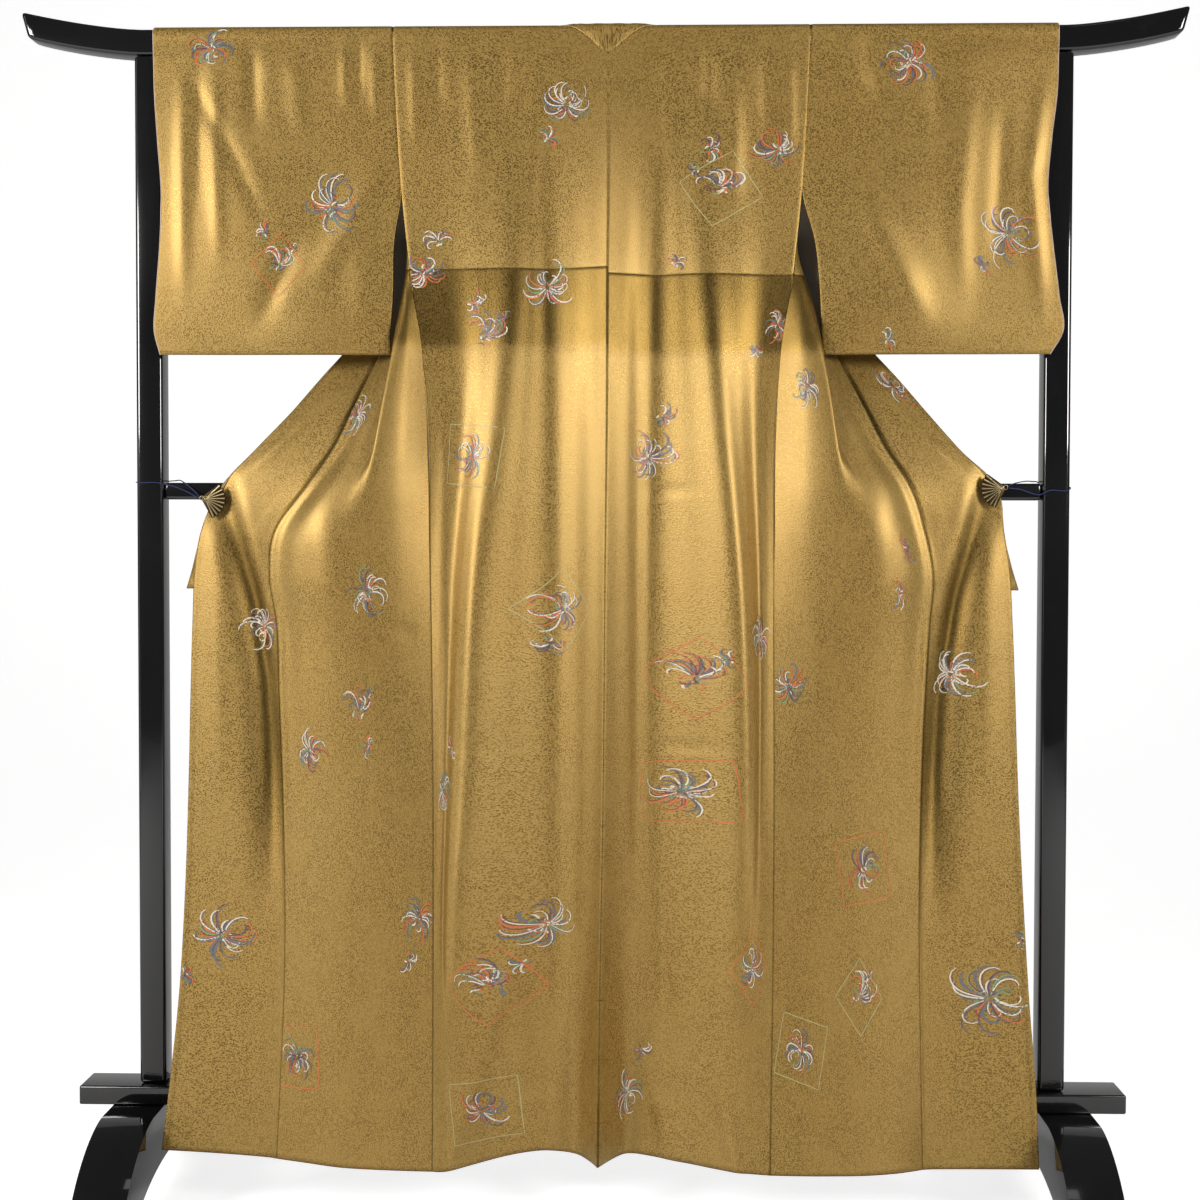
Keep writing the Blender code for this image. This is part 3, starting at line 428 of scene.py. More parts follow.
# %% Posts, crossbar and base board
for side in ("left", "right"):
    post = bar_from_cube("post_" + side, "lacquer_post_" + side)
    round_edges(post, 0.0055)
    finish_piece(post, "post_" + side, material=lacquer)
cross_bar = bar_from_cube("cross_bar", "lacquer_crossbar")
round_edges(cross_bar, 0.0045)
finish_piece(cross_bar, "cross_bar", material=lacquer)
board = bar_from_cube("base_board", "lacquer_base_board")
round_edges(board, 0.003)
finish_piece(board, "base_board", material=lacquer)

# %% The top rail
RAIL_TOP = 1.684
RAIL_HIGH = 0.037
RAIL_BEND = 0.655
RAIL_HALF = 0.829
RAIL_RISE = 0.026
rail = bar_from_cube("top_rail", "lacquer_top_rail", steps=96)
for vertex in rail.data.vertices:
    x, upper = vertex.co.x, vertex.co.z > RAIL_TOP - RAIL_HIGH / 2
    along = max(0.0, (abs(x) - RAIL_BEND) / (RAIL_HALF - RAIL_BEND))
    vertex.co.z = RAIL_TOP - (0 if upper else RAIL_HIGH) + RAIL_RISE * along ** 1.5
    if not upper:
        vertex.co.x -= math.copysign(0.010 * along ** 6, x)
round_edges(rail, 0.006, 6)
finish_piece(rail, "top_rail", material=lacquer)

# %% The arched feet
FOOT_REACH = 0.245
FOOT_FLAT = 0.08
FOOT_TOP = 0.1413
ARCH_HALF = 0.185
ARCH_HIGH = 0.068


def bow(y, half, high, power, flat=0.0):
    """Height of a soft arch at y: level in the middle, down to nothing at half."""
    along = min(1.0, max(0.0, abs(y) - flat) / (half - flat))
    return high * (1 - along ** power) ** (1 / power)


for side in ("left", "right"):
    foot = bar_from_cube("leg_" + side, "lacquer_foot_" + side, steps=72, axis=1)
    for vertex in foot.data.vertices:
        upper = vertex.co.z > FOOT_TOP / 2
        level = round(vertex.co.y / FOOT_REACH, 6)
        spread = FOOT_REACH * math.sin(level * math.pi / 2)
        vertex.co.y = spread
        vertex.co.z = bow(spread, FOOT_REACH, FOOT_TOP, 1.7, FOOT_FLAT) if upper else 0.0
        if not upper and abs(spread) < ARCH_HALF:
            vertex.co.z = bow(spread, ARCH_HALF, ARCH_HIGH, 1.8)
    only(foot)
    bpy.ops.object.mode_set(mode="EDIT")
    bpy.ops.mesh.select_all(action="SELECT")
    bpy.ops.mesh.remove_doubles(threshold=0.00005)
    bpy.ops.object.mode_set(mode="OBJECT")
    round_edges(foot, 0.003, 4, 55)
    finish_piece(foot, "leg_" + side, material=lacquer)

# %% [markdown]
# ## The cloth: pattern pieces
#
# A kimono is cut from one narrow bolt: two body lengths that run from the back hem over the
# shoulder to the front hem, two sleeves, two overlap panels and a collar band. Each piece is a
# rectangle of silk before it hangs, so each is made here as one sheet: rows of points along the
# cloth and columns across it. The tables hold the hanging shape in centimetres: "out" is the
# distance from the middle plane, "fwd" the distance towards the side where the back faces, and "z"
# the height. Curves through the tables give the fine sheet.

# Heights of the rows, in cm, from the hem to the side slit, and from the slit to the rail
SKIRT_ROWS = (8.3, 18, 32, 46, 60, 74, 84, 91, 97, 103, 108.5, 114, 119, 124, 128, 132)
UPPER_ROWS = (136, 140, 145, 152, 159, 164.5)
SLEEVE_ROWS = (122, 125, 130, 138, 145, 152, 159, 164.5)
HEM = SKIRT_ROWS[0]

# Centre back seam: z, x, fwd
CENTRE = ((8.3, 0.0, 9.9), (32, 0.2, 9.0), (60, 0.6, 8.0), (90, 0.8, 7.0), (115, 1.0, 6.0),
          (134, 1.0, 5.0), (147, 1.1, 4.1), (160, 1.1, 2.9), (164.5, 1.0, 2.4))

# Back panels: z, then out and fwd of side seam, outer fold, ridge, valley, flank
BACK = {
    "left": (
        (8.3, 22.8, 12.0, 20.3, 11.5, 13.6, 5.9, 7.9, 4.6, 3.0, 4.9),
        (32, 23.0, 9.6, 21.6, 9.4, 18.6, 9.6, 7.6, 4.3, 2.4, 5.9),
        (60, 23.3, 7.2, 21.5, 6.4, 18.0, 8.2, 7.2, 3.9, 1.9, 6.0),
        (90, 23.9, 5.1, 20.8, 4.4, 16.6, 6.4, 7.0, 3.4, 1.6, 5.6),
        (115, 24.6, 3.7, 19.4, 3.3, 13.8, 4.9, 7.0, 3.0, 1.4, 5.0),
        (134, 27.1, 2.9, 20.5, 2.9, 12.5, 3.9, 7.2, 2.8, 1.2, 4.2),
        (147, 28.5, 2.5, 22.0, 2.7, 13.5, 3.1, 7.5, 2.6, 1.5, 3.5),
        (160, 29.3, 2.3, 23.0, 2.4, 15.0, 2.5, 8.0, 2.4, 2.5, 2.6),
        (164.5, 29.5, 2.2, 24.0, 2.3, 16.0, 2.3, 8.5, 2.3, 3.0, 2.35)),
    "right": (
        (8.3, 23.8, 12.4, 18.7, 11.5, 13.4, 8.2, 6.7, 4.6, 3.4, 4.7),
        (32, 24.2, 9.8, 21.6, 9.9, 17.5, 9.2, 9.0, 4.6, 3.8, 5.2),
        (60, 24.5, 7.4, 22.4, 7.0, 19.4, 8.6, 8.4, 3.9, 4.0, 5.4),
        (90, 24.5, 5.2, 22.2, 4.8, 18.6, 7.2, 8.2, 3.3, 3.9, 5.0),
        (115, 24.9, 3.7, 21.6, 3.6, 16.5, 5.6, 8.2, 2.9, 3.8, 4.6),
        (134, 27.3, 2.9, 22.5, 3.1, 15.0, 4.4, 8.2, 2.7, 3.8, 4.0),
        (147, 28.6, 2.5, 22.8, 2.8, 14.5, 3.5, 8.5, 2.6, 4.0, 3.3),
        (160, 29.3, 2.3, 24.0, 2.4, 17.0, 2.6, 9.0, 2.4, 4.4, 2.6),
        (164.5, 29.5, 2.2, 24.5, 2.3, 17.5, 2.35, 9.5, 2.3, 5.0, 2.35)),
}

# Front panels: z, then out and fwd of side seam, swell, first fold, tuck, second fold, overlap seam
FRONT = {
    "left": (
        (8.3, 22.8, 12.0, 27.3, 11.8, 32.0, 11.4, 36.2, 11.0, 40.8, 10.2, 45.1, 9.5),
        (32, 23.0, 9.6, 27.4, 9.6, 31.7, 9.4, 36.0, 9.0, 40.2, 8.2, 44.4, 7.3),
        (60, 23.3, 7.2, 27.6, 7.9, 31.9, 8.0, 36.2, 7.6, 40.5, 6.7, 44.6, 5.4),
        (84, 23.8, 5.5, 28.2, 7.0, 32.6, 7.8, 37.0, 7.8, 41.4, 6.9, 45.2, 4.9),
        (97, 24.1, 4.7, 28.5, 6.9, 32.8, 8.0, 37.0, 8.2, 41.6, 7.2, 45.4, 5.0),
        (103, 24.2, 4.4, 28.3, 6.8, 32.2, 7.9, 34.6, 7.6, 37.6, 7.0, 40.9, 5.0),
        (108.5, 24.4, 4.0, 28.0, 6.5, 31.4, 7.4, 31.6, 6.2, 34.2, 5.8, 37.2, 4.2),
        (114, 24.6, 3.7, 27.8, 6.0, 30.6, 6.6, 29.8, 4.6, 32.0, 4.2, 34.7, 2.9),
        (119, 25.0, 3.5, 27.6, 5.3, 29.8, 5.6, 28.8, 3.0, 30.4, 2.6, 32.6, 1.3),
        (124, 25.5, 3.3, 27.4, 4.5, 29.0, 4.3, 28.0, 1.6, 29.2, 0.4, 30.9, -0.8),
        (132, 26.9, 2.95, 27.7, 2.7, 27.9, 1.4, 27.2, -0.8, 27.0, -3.0, 27.6, -4.2),
        (140, 27.9, 0.9, 27.2, -1.0, 26.0, -2.8, 24.4, -4.6, 23.4, -6.0, 24.4, -6.9),
        (145, 28.3, -0.5, 26.2, -2.1, 23.8, -3.4, 21.6, -4.8, 20.4, -5.8, 20.9, -6.7),
        (152, 28.9, -1.8, 25.6, -2.4, 22.4, -3.1, 19.4, -4.0, 17.2, -4.8, 16.4, -5.5),
        (159, 29.3, -2.1, 25.2, -2.3, 21.4, -2.6, 17.8, -3.0, 14.6, -3.3, 12.2, -3.5),
        (164.5, 29.5, -2.2, 25.2, -2.2, 20.8, -2.3, 16.6, -2.4, 12.6, -2.5, 9.2, -2.6)),
    "right": (
        (8.3, 23.8, 12.4, 28.1, 12.8, 32.5, 12.7, 36.9, 12.4, 41.4, 11.4, 45.2, 9.6),
        (32, 24.2, 9.8, 28.4, 10.0, 32.6, 9.8, 36.8, 9.4, 41.0, 8.6, 45.0, 7.4),
        (60, 24.5, 7.4, 28.6, 8.0, 32.8, 8.0, 37.0, 7.6, 41.2, 6.8, 45.0, 5.4),
        (84, 24.5, 5.6, 29.0, 7.0, 33.4, 7.8, 37.8, 7.8, 42.0, 7.0, 45.8, 5.0),
        (91, 24.5, 5.1, 29.2, 6.9, 33.8, 7.9, 38.4, 8.1, 42.6, 7.3, 46.3, 5.0),
        (97, 24.6, 4.8, 29.2, 6.9, 33.8, 8.0, 38.0, 8.2, 41.6, 7.3, 45.1, 5.0),
        (103, 24.6, 4.4, 29.2, 6.8, 33.6, 7.9, 36.8, 7.5, 39.8, 6.8, 43.1, 4.9),
        (108.5, 24.7, 4.0, 29.1, 6.4, 33.0, 7.4, 33.6, 6.2, 36.4, 5.8, 39.6, 4.2),
        (114, 24.9, 3.7, 29.0, 6.0, 32.4, 6.7, 31.8, 4.8, 34.2, 4.2, 36.9, 2.9),
        (119, 25.2, 3.5, 28.7, 5.4, 31.7, 5.8, 30.6, 3.2, 32.4, 2.6, 34.5, 1.3),
        (124, 25.7, 3.3, 28.4, 4.8, 30.8, 4.6, 29.6, 1.6, 31.0, 0.4, 32.6, -0.8),
        (132, 27.1, 2.95, 28.5, 2.9, 29.2, 1.6, 28.6, -0.8, 28.4, -3.0, 28.8, -4.2),
        (140, 28.0, 0.9, 27.4, -1.0, 26.2, -2.8, 24.6, -4.6, 23.6, -6.0, 24.6, -6.9),
        (145, 28.4, -0.5, 26.4, -2.1, 24.0, -3.4, 21.8, -4.8, 20.6, -5.8, 21.1, -6.7),
        (152, 28.9, -1.8, 25.8, -2.4, 22.8, -3.1, 20.0, -4.0, 18.0, -4.8, 17.2, -5.5),
        (159, 29.3, -2.1, 25.6, -2.3, 22.0, -2.6, 18.6, -3.0, 15.6, -3.3, 13.4, -3.5),
        (164.5, 29.5, -2.2, 25.6, -2.2, 21.6, -2.3, 17.6, -2.4, 13.8, -2.5, 10.8, -2.6)),
}

# Overlap panels, from the hem up to their narrow top: z, then out and fwd of the inner line, the
# middle and the front edge. Their inner edge is the front panel's last column.
OVERLAP = {
    "left": (
        (8.3, 47.2, 9.3, 54.3, 9.1, 61.4, 9.0),
        (18, 46.8, 8.2, 53.8, 7.9, 60.6, 7.6),
        (32, 46.4, 6.9, 53.1, 6.3, 59.6, 5.9),
        (60, 46.5, 4.8, 52.8, 4.2, 58.8, 3.6),
        (84, 46.8, 4.1, 52.6, 3.8, 58.3, 2.8),
        (91, 46.6, 4.0, 52.4, 3.8, 58.0, 2.6),
        (97, 46.4, 3.9, 51.8, 3.7, 57.0, 2.6),
        (103, 42.0, 3.9, 48.2, 3.4, 54.3, 2.6),
        (108.5, 37.8, 3.0, 43.9, 2.6, 49.4, 1.9),
        (114, 35.2, 1.6, 39.9, 1.2, 44.4, 0.6),
        (119, 32.9, 0.0, 36.7, -0.4, 40.4, -0.9),
        (124, 31.2, -1.6, 33.8, -2.2, 36.4, -2.8),
        (132, 28.0, -5.0, 29.6, -5.4, 31.0, -5.6),
        (140, 24.8, -7.2, 25.2, -7.4, 25.6, -7.6)),
    "right": (
        (8.3, 47.4, 9.3, 54.4, 9.1, 61.4, 9.0),
        (18, 47.0, 8.2, 54.2, 7.9, 61.2, 7.8),
        (32, 46.8, 6.9, 53.6, 6.4, 60.4, 6.2),
        (60, 46.8, 4.8, 53.1, 4.3, 59.2, 3.8),
        (84, 47.2, 4.1, 52.8, 3.8, 58.4, 2.8),
        (91, 47.6, 4.0, 52.8, 3.8, 58.0, 2.6),
        (97, 46.4, 3.9, 51.8, 3.7, 57.1, 2.6),
        (103, 44.2, 3.9, 50.3, 3.4, 56.2, 2.6),
        (108.5, 40.2, 3.0, 45.7, 2.6, 51.0, 1.9),
        (114, 37.4, 1.6, 42.0, 1.2, 46.4, 0.6),
        (119, 34.9, 0.0, 38.7, -0.4, 42.4, -0.9),
        (124, 32.9, -1.6, 35.6, -2.2, 38.2, -2.8),
        (132, 29.2, -5.0, 30.8, -5.4, 32.2, -5.6),
        (140, 25.0, -7.2, 25.4, -7.4, 25.8, -7.6)),
}

# How far the hem rises above HEM: back panel columns, front panel columns, overlap columns
HEM_RISE = {
    "left": ((0, 0, 0, 0.5, 0.1, 0), (0, 0, 0, 0.1, 0.4, 0.7), (0.9, 1.3, 1.6)),
    "right": ((0.1, 0.2, 0, 0, 0.1, 0), (0.1, 0.2, 0.2, 0.2, 0.2, 0.1), (0.1, 0.1, 0.1)),
}

# Sleeves: z, out of the inner edge and of the outer edge, then fwd at the inner edge, one third,
# two thirds and the outer edge, near layer and far layer
SLEEVE = {
    "left": (
        (122, 29.7, 62.6, 3.00, 3.30, 3.10, 3.20, 2.75, 3.05, 2.85, 2.95),
        (125, 29.8, 63.4, 3.00, 3.60, 3.20, 3.20, 1.80, 1.90, 2.00, 2.95),
        (130, 29.5, 63.2, 2.90, 3.50, 3.40, 3.15, 0.90, 0.60, 1.10, 2.90),
        (138, 29.3, 62.6, 2.75, 3.10, 3.60, 3.10, -0.20, -0.80, 0.00, 2.85),
        (145, 28.9, 62.4, 2.60, 2.90, 3.50, 3.00, -0.50, -1.50, -1.00, 2.75),
        (152, 28.9, 62.9, 2.50, 2.70, 3.10, 2.85, -1.80, -2.20, -1.90, 0.20),
        (159, 29.3, 63.4, 2.35, 2.50, 2.70, 2.60, -2.10, -2.30, -2.25, -1.80),
        (164.5, 29.5, 63.6, 2.20, 2.30, 2.40, 2.30, -2.20, -2.30, -2.25, -2.20)),
    "right": (
        (122, 31.4, 63.2, 3.00, 3.20, 3.20, 3.20, 2.75, 2.95, 2.95, 2.95),
        (125, 31.2, 64.9, 3.00, 3.70, 3.30, 3.20, 1.80, 1.90, 2.00, 2.95),
        (130, 31.0, 64.4, 2.90, 4.00, 3.20, 3.15, 0.90, 0.60, 1.10, 2.90),
        (138, 30.2, 63.4, 2.75, 3.80, 3.20, 3.10, -0.20, -0.80, 0.00, 2.85),
        (145, 28.9, 62.7, 2.60, 3.30, 3.30, 3.00, -0.50, -1.50, -1.00, 2.75),
        (152, 28.9, 63.2, 2.50, 2.90, 3.20, 2.85, -1.80, -2.20, -1.90, 0.20),
        (159, 29.3, 64.0, 2.35, 2.60, 2.80, 2.60, -2.10, -2.30, -2.25, -1.80),
        (164.5, 29.5, 64.2, 2.20, 2.30, 2.50, 2.30, -2.20, -2.30, -2.25, -2.20)),
}
CUFF_INSIDE = 62.25        # the far layer's cuff edge passes just inside the post
CUFF_END = 146.0           # the sleeve's outer edge is sewn below this height

# Neck: where the body's inner edge lies on each row round the rail, from near to far
NECK_OUT = {"left": (2.0, 3.2, 4.2, 5.6, 7.4, 8.2, 8.5, 8.8, 9.0),
            "right": (4.0, 5.2, 6.2, 7.6, 9.4, 10.0, 10.2, 10.4, 10.6)}

# Collar band, from its sewn edge to its free edge: z of the row, then out and fwd steps
COLLAR = (
    (88.7, (1.2, -0.60), (-1.8, -1.35), (-5.5, -1.4)),
    (91, (0.5, -0.60), (-2.0, -1.2), (-5.5, -1.3)),
    (97, (-0.3, -0.55), (-2.6, -0.8), (-5.6, -0.9)),
    (103, (-0.4, -0.60), (-2.6, -0.8), (-5.6, -0.9)),
    (108.5, (-0.4, -0.80), (-2.4, -1.3), (-5.2, -1.5)),
    (114, (-0.4, -0.90), (-2.2, -1.6), (-5.0, -2.0)),
    (119, (-0.4, -0.90), (-2.2, -1.6), (-4.8, -2.2)),
    (124, (-0.4, -0.90), (-2.2, -1.7), (-4.6, -2.4)),
    (132, (-0.4, -0.90), (-2.0, -1.8), (-4.4, -2.4)),
    (140, (-0.5, -0.90), (-2.0, -1.7), (-4.4, -2.2)),
    (145, (-0.8, -0.90), (-2.4, -1.5), (-4.8, -1.9)),
    (152, (-1.4, -0.70), (-3.2, -1.0), (-5.4, -1.2)),
    (159, (-1.9, -0.40), (-3.8, -0.6), (-5.6, -0.7)),
    (164.5, (-1.9, -0.20), (-3.8, -0.3), (-5.6, -0.4)),
)
COLLAR_END = 88.7

# The rail's rounded edge, and where the cloth's middle layer runs round it
SOFT_EDGE = 0.006
WRAP_RADIUS = SOFT_EDGE + 0.0022
WRAP_Y = 0.038 / 2 - SOFT_EDGE
WRAP_Z = RAIL_TOP - SOFT_EDGE
WALL = 0.002
COLLAR_PROUD = 0.0028       # the band lies this much proud of the body round the rail
COLLAR_HANG = (-2.7, 164.4)
BODY_WIDTH = 0.30
ROW_STEP = 0.8              # cm along the cloth


# %% Curves through the tables
def smooth(x, xs, ys):
    """A smooth curve through rows of ys at the places xs, read at x."""
    xs, ys = np.asarray(xs, float), np.asarray(ys, float)
    slope = np.gradient(ys, xs, axis=0)
    i = np.clip(np.searchsorted(xs, x) - 1, 0, len(xs) - 2)
    h = xs[i + 1] - xs[i]
    t = np.clip((np.asarray(x, float) - xs[i]) / h, 0, 1)
    t, h = t[..., None], h[..., None]
    return ((1 + 2 * t) * (1 - t) ** 2 * ys[i] + t * (1 - t) ** 2 * h * slope[i]
            + t * t * (3 - 2 * t) * ys[i + 1] + t * t * (t - 1) * h * slope[i + 1])


def unit(v):
    return v / np.maximum(np.linalg.norm(v, axis=-1, keepdims=True), 1e-12)


def across(knots, shares):
    """Spreads the named points of every row over columns at these shares of the width."""
    knots = np.moveaxis(knots, 1, 0)
    shares = np.linspace(0, 1, shares) if isinstance(shares, int) else shares
    flat = smooth(shares * (len(knots) - 1), np.arange(len(knots)), knots.reshape(len(knots), -1))
    return np.moveaxis(flat.reshape((len(shares),) + knots.shape[1:]), 0, 1)


def place(side, out, fwd, z):
    sign = -1 if side == "left" else 1
    out, fwd, z = np.broadcast_arrays(np.asarray(out, float), fwd, z)
    return np.stack((sign * out, -fwd, z), axis=-1) * CM


def table(rows, heights):
    """Reads a table at the heights: out and fwd of each named column."""
    rows = np.asarray(rows, float)
    read = smooth(np.asarray(heights, float), rows[:, 0], rows[:, 1:])
    return read[:, 0::2], read[:, 1::2]


def lifted(heights, rise):
    """Heights of each column, with the hem's rise fading out upwards."""
    heights = np.asarray(heights, float)
    fade = np.clip(1 - (heights - HEM) / 26, 0, 1)
    return heights[:, None] + fade[:, None] * np.asarray(rise, float)[None, :]


def round_rail(proud=0.0):
    """Fwd and z of the cloth from the rail's near face over the top to its far face, in cm."""
    r, y, z = WRAP_RADIUS + proud, WRAP_Y, WRAP_Z
    near = [(y + r * math.cos(a), z + r * math.sin(a)) for a in (0, math.pi / 4, math.pi / 2)]
    return [(f / CM, h / CM) for f, h in
            [(y + r, z - 0.009)] + near + [(0.0, z + r)]
            + [(-f, h) for f, h in reversed(near)] + [(-y - r, z - 0.009)]]


# %% Distance along the cloth
RAIL_LAP = np.array(round_rail())
LAP_STEPS = np.concatenate(([2.4], np.linalg.norm(np.diff(RAIL_LAP, axis=0), axis=1)))


def distances(heights):
    """Distance along the cloth of each row: up to the rail, over it, and down again, in cm."""
    heights = np.asarray(heights, float)
    lap = heights[-1] + np.cumsum(LAP_STEPS)
    return np.concatenate((heights, lap, lap[-1] + 2.4 + (heights[-1] - heights[::-1])))


EDGE_COLUMNS = (0, 0.0013, 0.003, 0.0055, 0.009)


def columns(width, step):
    """Places across the cloth: close together at both selvedges, a step apart between them."""
    inner = np.linspace(EDGE_COLUMNS[-1], width - EDGE_COLUMNS[-1], int(width / step))
    near, far = np.array(EDGE_COLUMNS[:-1]), width - np.array(EDGE_COLUMNS[:-1])[::-1]
    return np.concatenate((near, inner, far))


def refined(points, along, step, over, extra=()):
    """The same sheet with close rows, a step apart, and columns at these places across it."""
    fine = np.linspace(along[0], along[-1], int(round((along[-1] - along[0]) / step)) + 1)
    fine = fine[[np.abs(v - np.array(extra)).min(initial=9) > 0.15 for v in fine]]
    fine = np.sort(np.concatenate((fine, extra)))
    dense = smooth(fine, along, points.reshape(len(points), -1)).reshape(len(fine), points.shape[1], 3)
    return across(dense, over / over[-1]), fine


# %% The body lengths
def body_points(side):
    """One length of cloth: up the back from the hem, over the rail and down the front."""
    rise_back, rise_front, _ = HEM_RISE[side]
    heights = SKIRT_ROWS + UPPER_ROWS
    sign = -1 if side == "left" else 1
    out, fwd = table(BACK[side], heights)
    mid_x, mid_fwd = table(CENTRE, heights)
    out, fwd = np.hstack((out, sign * mid_x)), np.hstack((fwd, mid_fwd))
    back = across(place(side, out, fwd, lifted(heights, rise_back)), 11)
    out, fwd = table(FRONT[side], heights)
    front = across(place(side, out, fwd, lifted(heights, rise_front)), 11)
    lap = [place(side, np.linspace(29.6, neck, 11), f, z) for (f, z), neck in zip(RAIL_LAP, NECK_OUT[side])]
    return np.concatenate((back, np.array(lap), front[::-1]))


class Sheet:
    """A piece of cloth: fine points, the distance along it of each row, and which way it faces."""

    def __init__(self, points, along, facing, over):
        self.points, self.along, self.facing, self.over = points, along, facing, over
        self.tone = np.ones(points.shape[:2])

    def outward(self):
        """Direction from each point to the silk's face."""
        rows = np.gradient(self.points, axis=0)
        over = np.gradient(self.points, axis=1)
        return -unit(np.cross(rows, over)) * self.facing

    def push(self, amount):
        """Moves every point along the outward direction, by metres."""
        self.points = self.points + self.outward() * amount[..., None]


FACING = {"left": -1, "right": 1}
TUCK_SEAM = {"left": 134.1, "right": 133.2}       # height of the tuck's seam, in cm
TUCK_DEEP = 11.0
TUCK_ROWS = (-0.5, -0.18, -0.08, 0.0, 0.08, 0.18, 0.5)
BODY_ROWS = SKIRT_ROWS + UPPER_ROWS
coarse_body, sheets = {}, {}
for side in ("left", "right"):
    coarse_body[side] = body_points(side)
    near_tuck = [TUCK_SEAM[side] + gap for gap in TUCK_ROWS]
    far_tuck = [distances(BODY_ROWS)[-1] + HEM - z for z in near_tuck]
    points, along = refined(coarse_body[side], distances(BODY_ROWS), ROW_STEP, columns(BODY_WIDTH, 0.005),
                            near_tuck + far_tuck)
    sheets["body_" + side] = Sheet(points, along, -FACING[side], columns(BODY_WIDTH, 0.005))
print("body lengths:", sheets["body_left"].points.shape[:2], "points each")

# %% The overlap panels
OKUMI_ROWS = [z for z in BODY_ROWS if z <= 140]
coarse_okumi = {}
for side in ("left", "right"):
    out, fwd = table(OVERLAP[side], OKUMI_ROWS)
    line = place(side, out, fwd, lifted(OKUMI_ROWS, HEM_RISE[side][2]))
    front = coarse_body[side][::-1][:len(OKUMI_ROWS)]
    coarse_okumi[side] = across(np.concatenate((front[:, -1:], line), axis=1), 5)
    points, along = refined(coarse_okumi[side], np.array(OKUMI_ROWS, float), ROW_STEP, columns(0.15, 0.005))
    sheets["okumi_" + side] = Sheet(points, along, FACING[side], columns(0.15, 0.005))


# %% The sleeves
def sleeve_points(side):
    """Near layer up from the bottom, over the rail, far layer down to the bottom."""
    rows = np.asarray(SLEEVE[side], float)
    inner, outer = rows[:, 1], rows[:, 2]
    u = np.linspace(0, 1, 9)
    inside = place(side, CUFF_INSIDE, 0, 0)[0]
    layers = []
    for first in (3, 7):
        knots = np.moveaxis(rows[:, first:first + 4], 0, 1)
        fwd = smooth(u * 3, np.arange(4), knots).T
        out = inner[:, None] + (outer - inner)[:, None] * u
        layers.append(place(side, out, fwd, rows[:, :1]))
    near, far = layers
    for i, z in enumerate(rows[:, 0]):
        if CUFF_END < z < 164:
            shift = np.clip((np.abs(far[i, :, 0]) - 0.5) / 0.12, 0, 1)
            far[i, :, 0] += (inside - far[i, -1, 0]) * shift
    edge = rows[-1, 2] + 0.1
    lap = [place(side, np.linspace(29.6, edge, 9), f, z) for f, z in RAIL_LAP]
    points = np.concatenate((near, np.array(lap), far[::-1]))
    first, start = SLEEVE_ROWS.index(145), BODY_ROWS.index(145)
    body = coarse_body[side]
    points[first:len(points) - first, 0] = body[start:len(body) - start, 0]
    return points


for side in ("left", "right"):
    points, along = refined(sleeve_points(side), distances(SLEEVE_ROWS), 0.6, columns(0.335, 0.005))
    sheets["sleeve_" + side] = Sheet(points, along, FACING[side], columns(0.335, 0.005))
print("sleeves:", sheets["sleeve_left"].points.shape[:2], "points each")


# %% The collar band
def collar_lap(edge, k, inward):
    """One row of the collar round the rail, from its sewn edge at the rail's point k."""
    rail_line = round_rail(COLLAR_PROUD) + [COLLAR_HANG]
    length = np.concatenate(([0], np.cumsum(np.linalg.norm(np.diff(rail_line, axis=0), axis=1))))
    marks = np.linspace(length[k], length[-1], 10)
    fwd, z = (np.interp(marks, length, [p[c] for p in rail_line]) for c in (0, 1))
    fwd[0], z[0] = -edge[1] / CM, edge[2] / CM
    return np.stack((edge[0] + inward + 0 * fwd, -fwd * CM, z * CM), axis=-1)


def collar_half(side, apex):
    """Half of the collar band, from its end up to the shoulder and over to the centre back."""
    sign = -1 if side == "left" else 1
    body, okumi, laps = coarse_body[side], coarse_okumi[side], len(RAIL_LAP)
    known = [[v for step in row[1:] for v in (step[0] * sign, -step[1], 0)] for row in COLLAR]
    heights = [COLLAR_END] + [z for z in BODY_ROWS if z > COLLAR_END]
    steps = smooth(np.array(heights), [row[0] for row in COLLAR], known).reshape(-1, 3, 3) * CM
    lines = []
    for z, step in zip(heights, steps):
        if z == COLLAR_END:
            edge = np.array([np.interp(z * CM, okumi[:, -1, 2], okumi[:, -1, k]) for k in range(3)])
            edge = edge + (0, 0.0024, 0)
        elif z <= 140:
            edge = okumi[OKUMI_ROWS.index(z), -1]
        else:
            edge = body[len(body) - 1 - BODY_ROWS.index(z), -1]
        lines.append(across(np.array([[edge] + [edge + s for s in step]]), 10)[0])
    last = lines[-1][-1][0]
    for k in range(laps - 1, -1, -1):
        edge = body[len(BODY_ROWS) + k, -1]
        free = apex[0] + (last - apex[0]) * (k + 1) / (laps + 1)
        lines.append(collar_lap(edge, k, np.linspace(0, free - edge[0], 10)))
    return lines


top = len(BODY_ROWS) - 1
neck = (coarse_body["left"][top, 10] + coarse_body["right"][top, 10]) / 2 + (0, 0, 0.0006)
band = collar_half("left", neck) + [collar_lap(neck, 0, 0)] + collar_half("right", neck)[::-1]
band = np.array(band)
band_along = np.concatenate(([0], np.cumsum(np.linalg.norm(np.diff(band[:, 0], axis=0), axis=1)))) / CM
points, along = refined(band, band_along, ROW_STEP, columns(0.058, 0.004))
sheets["collar"] = Sheet(points, along, -1, columns(0.058, 0.004))
print("collar:", round(band_along[-1] / 100, 2), "m long")
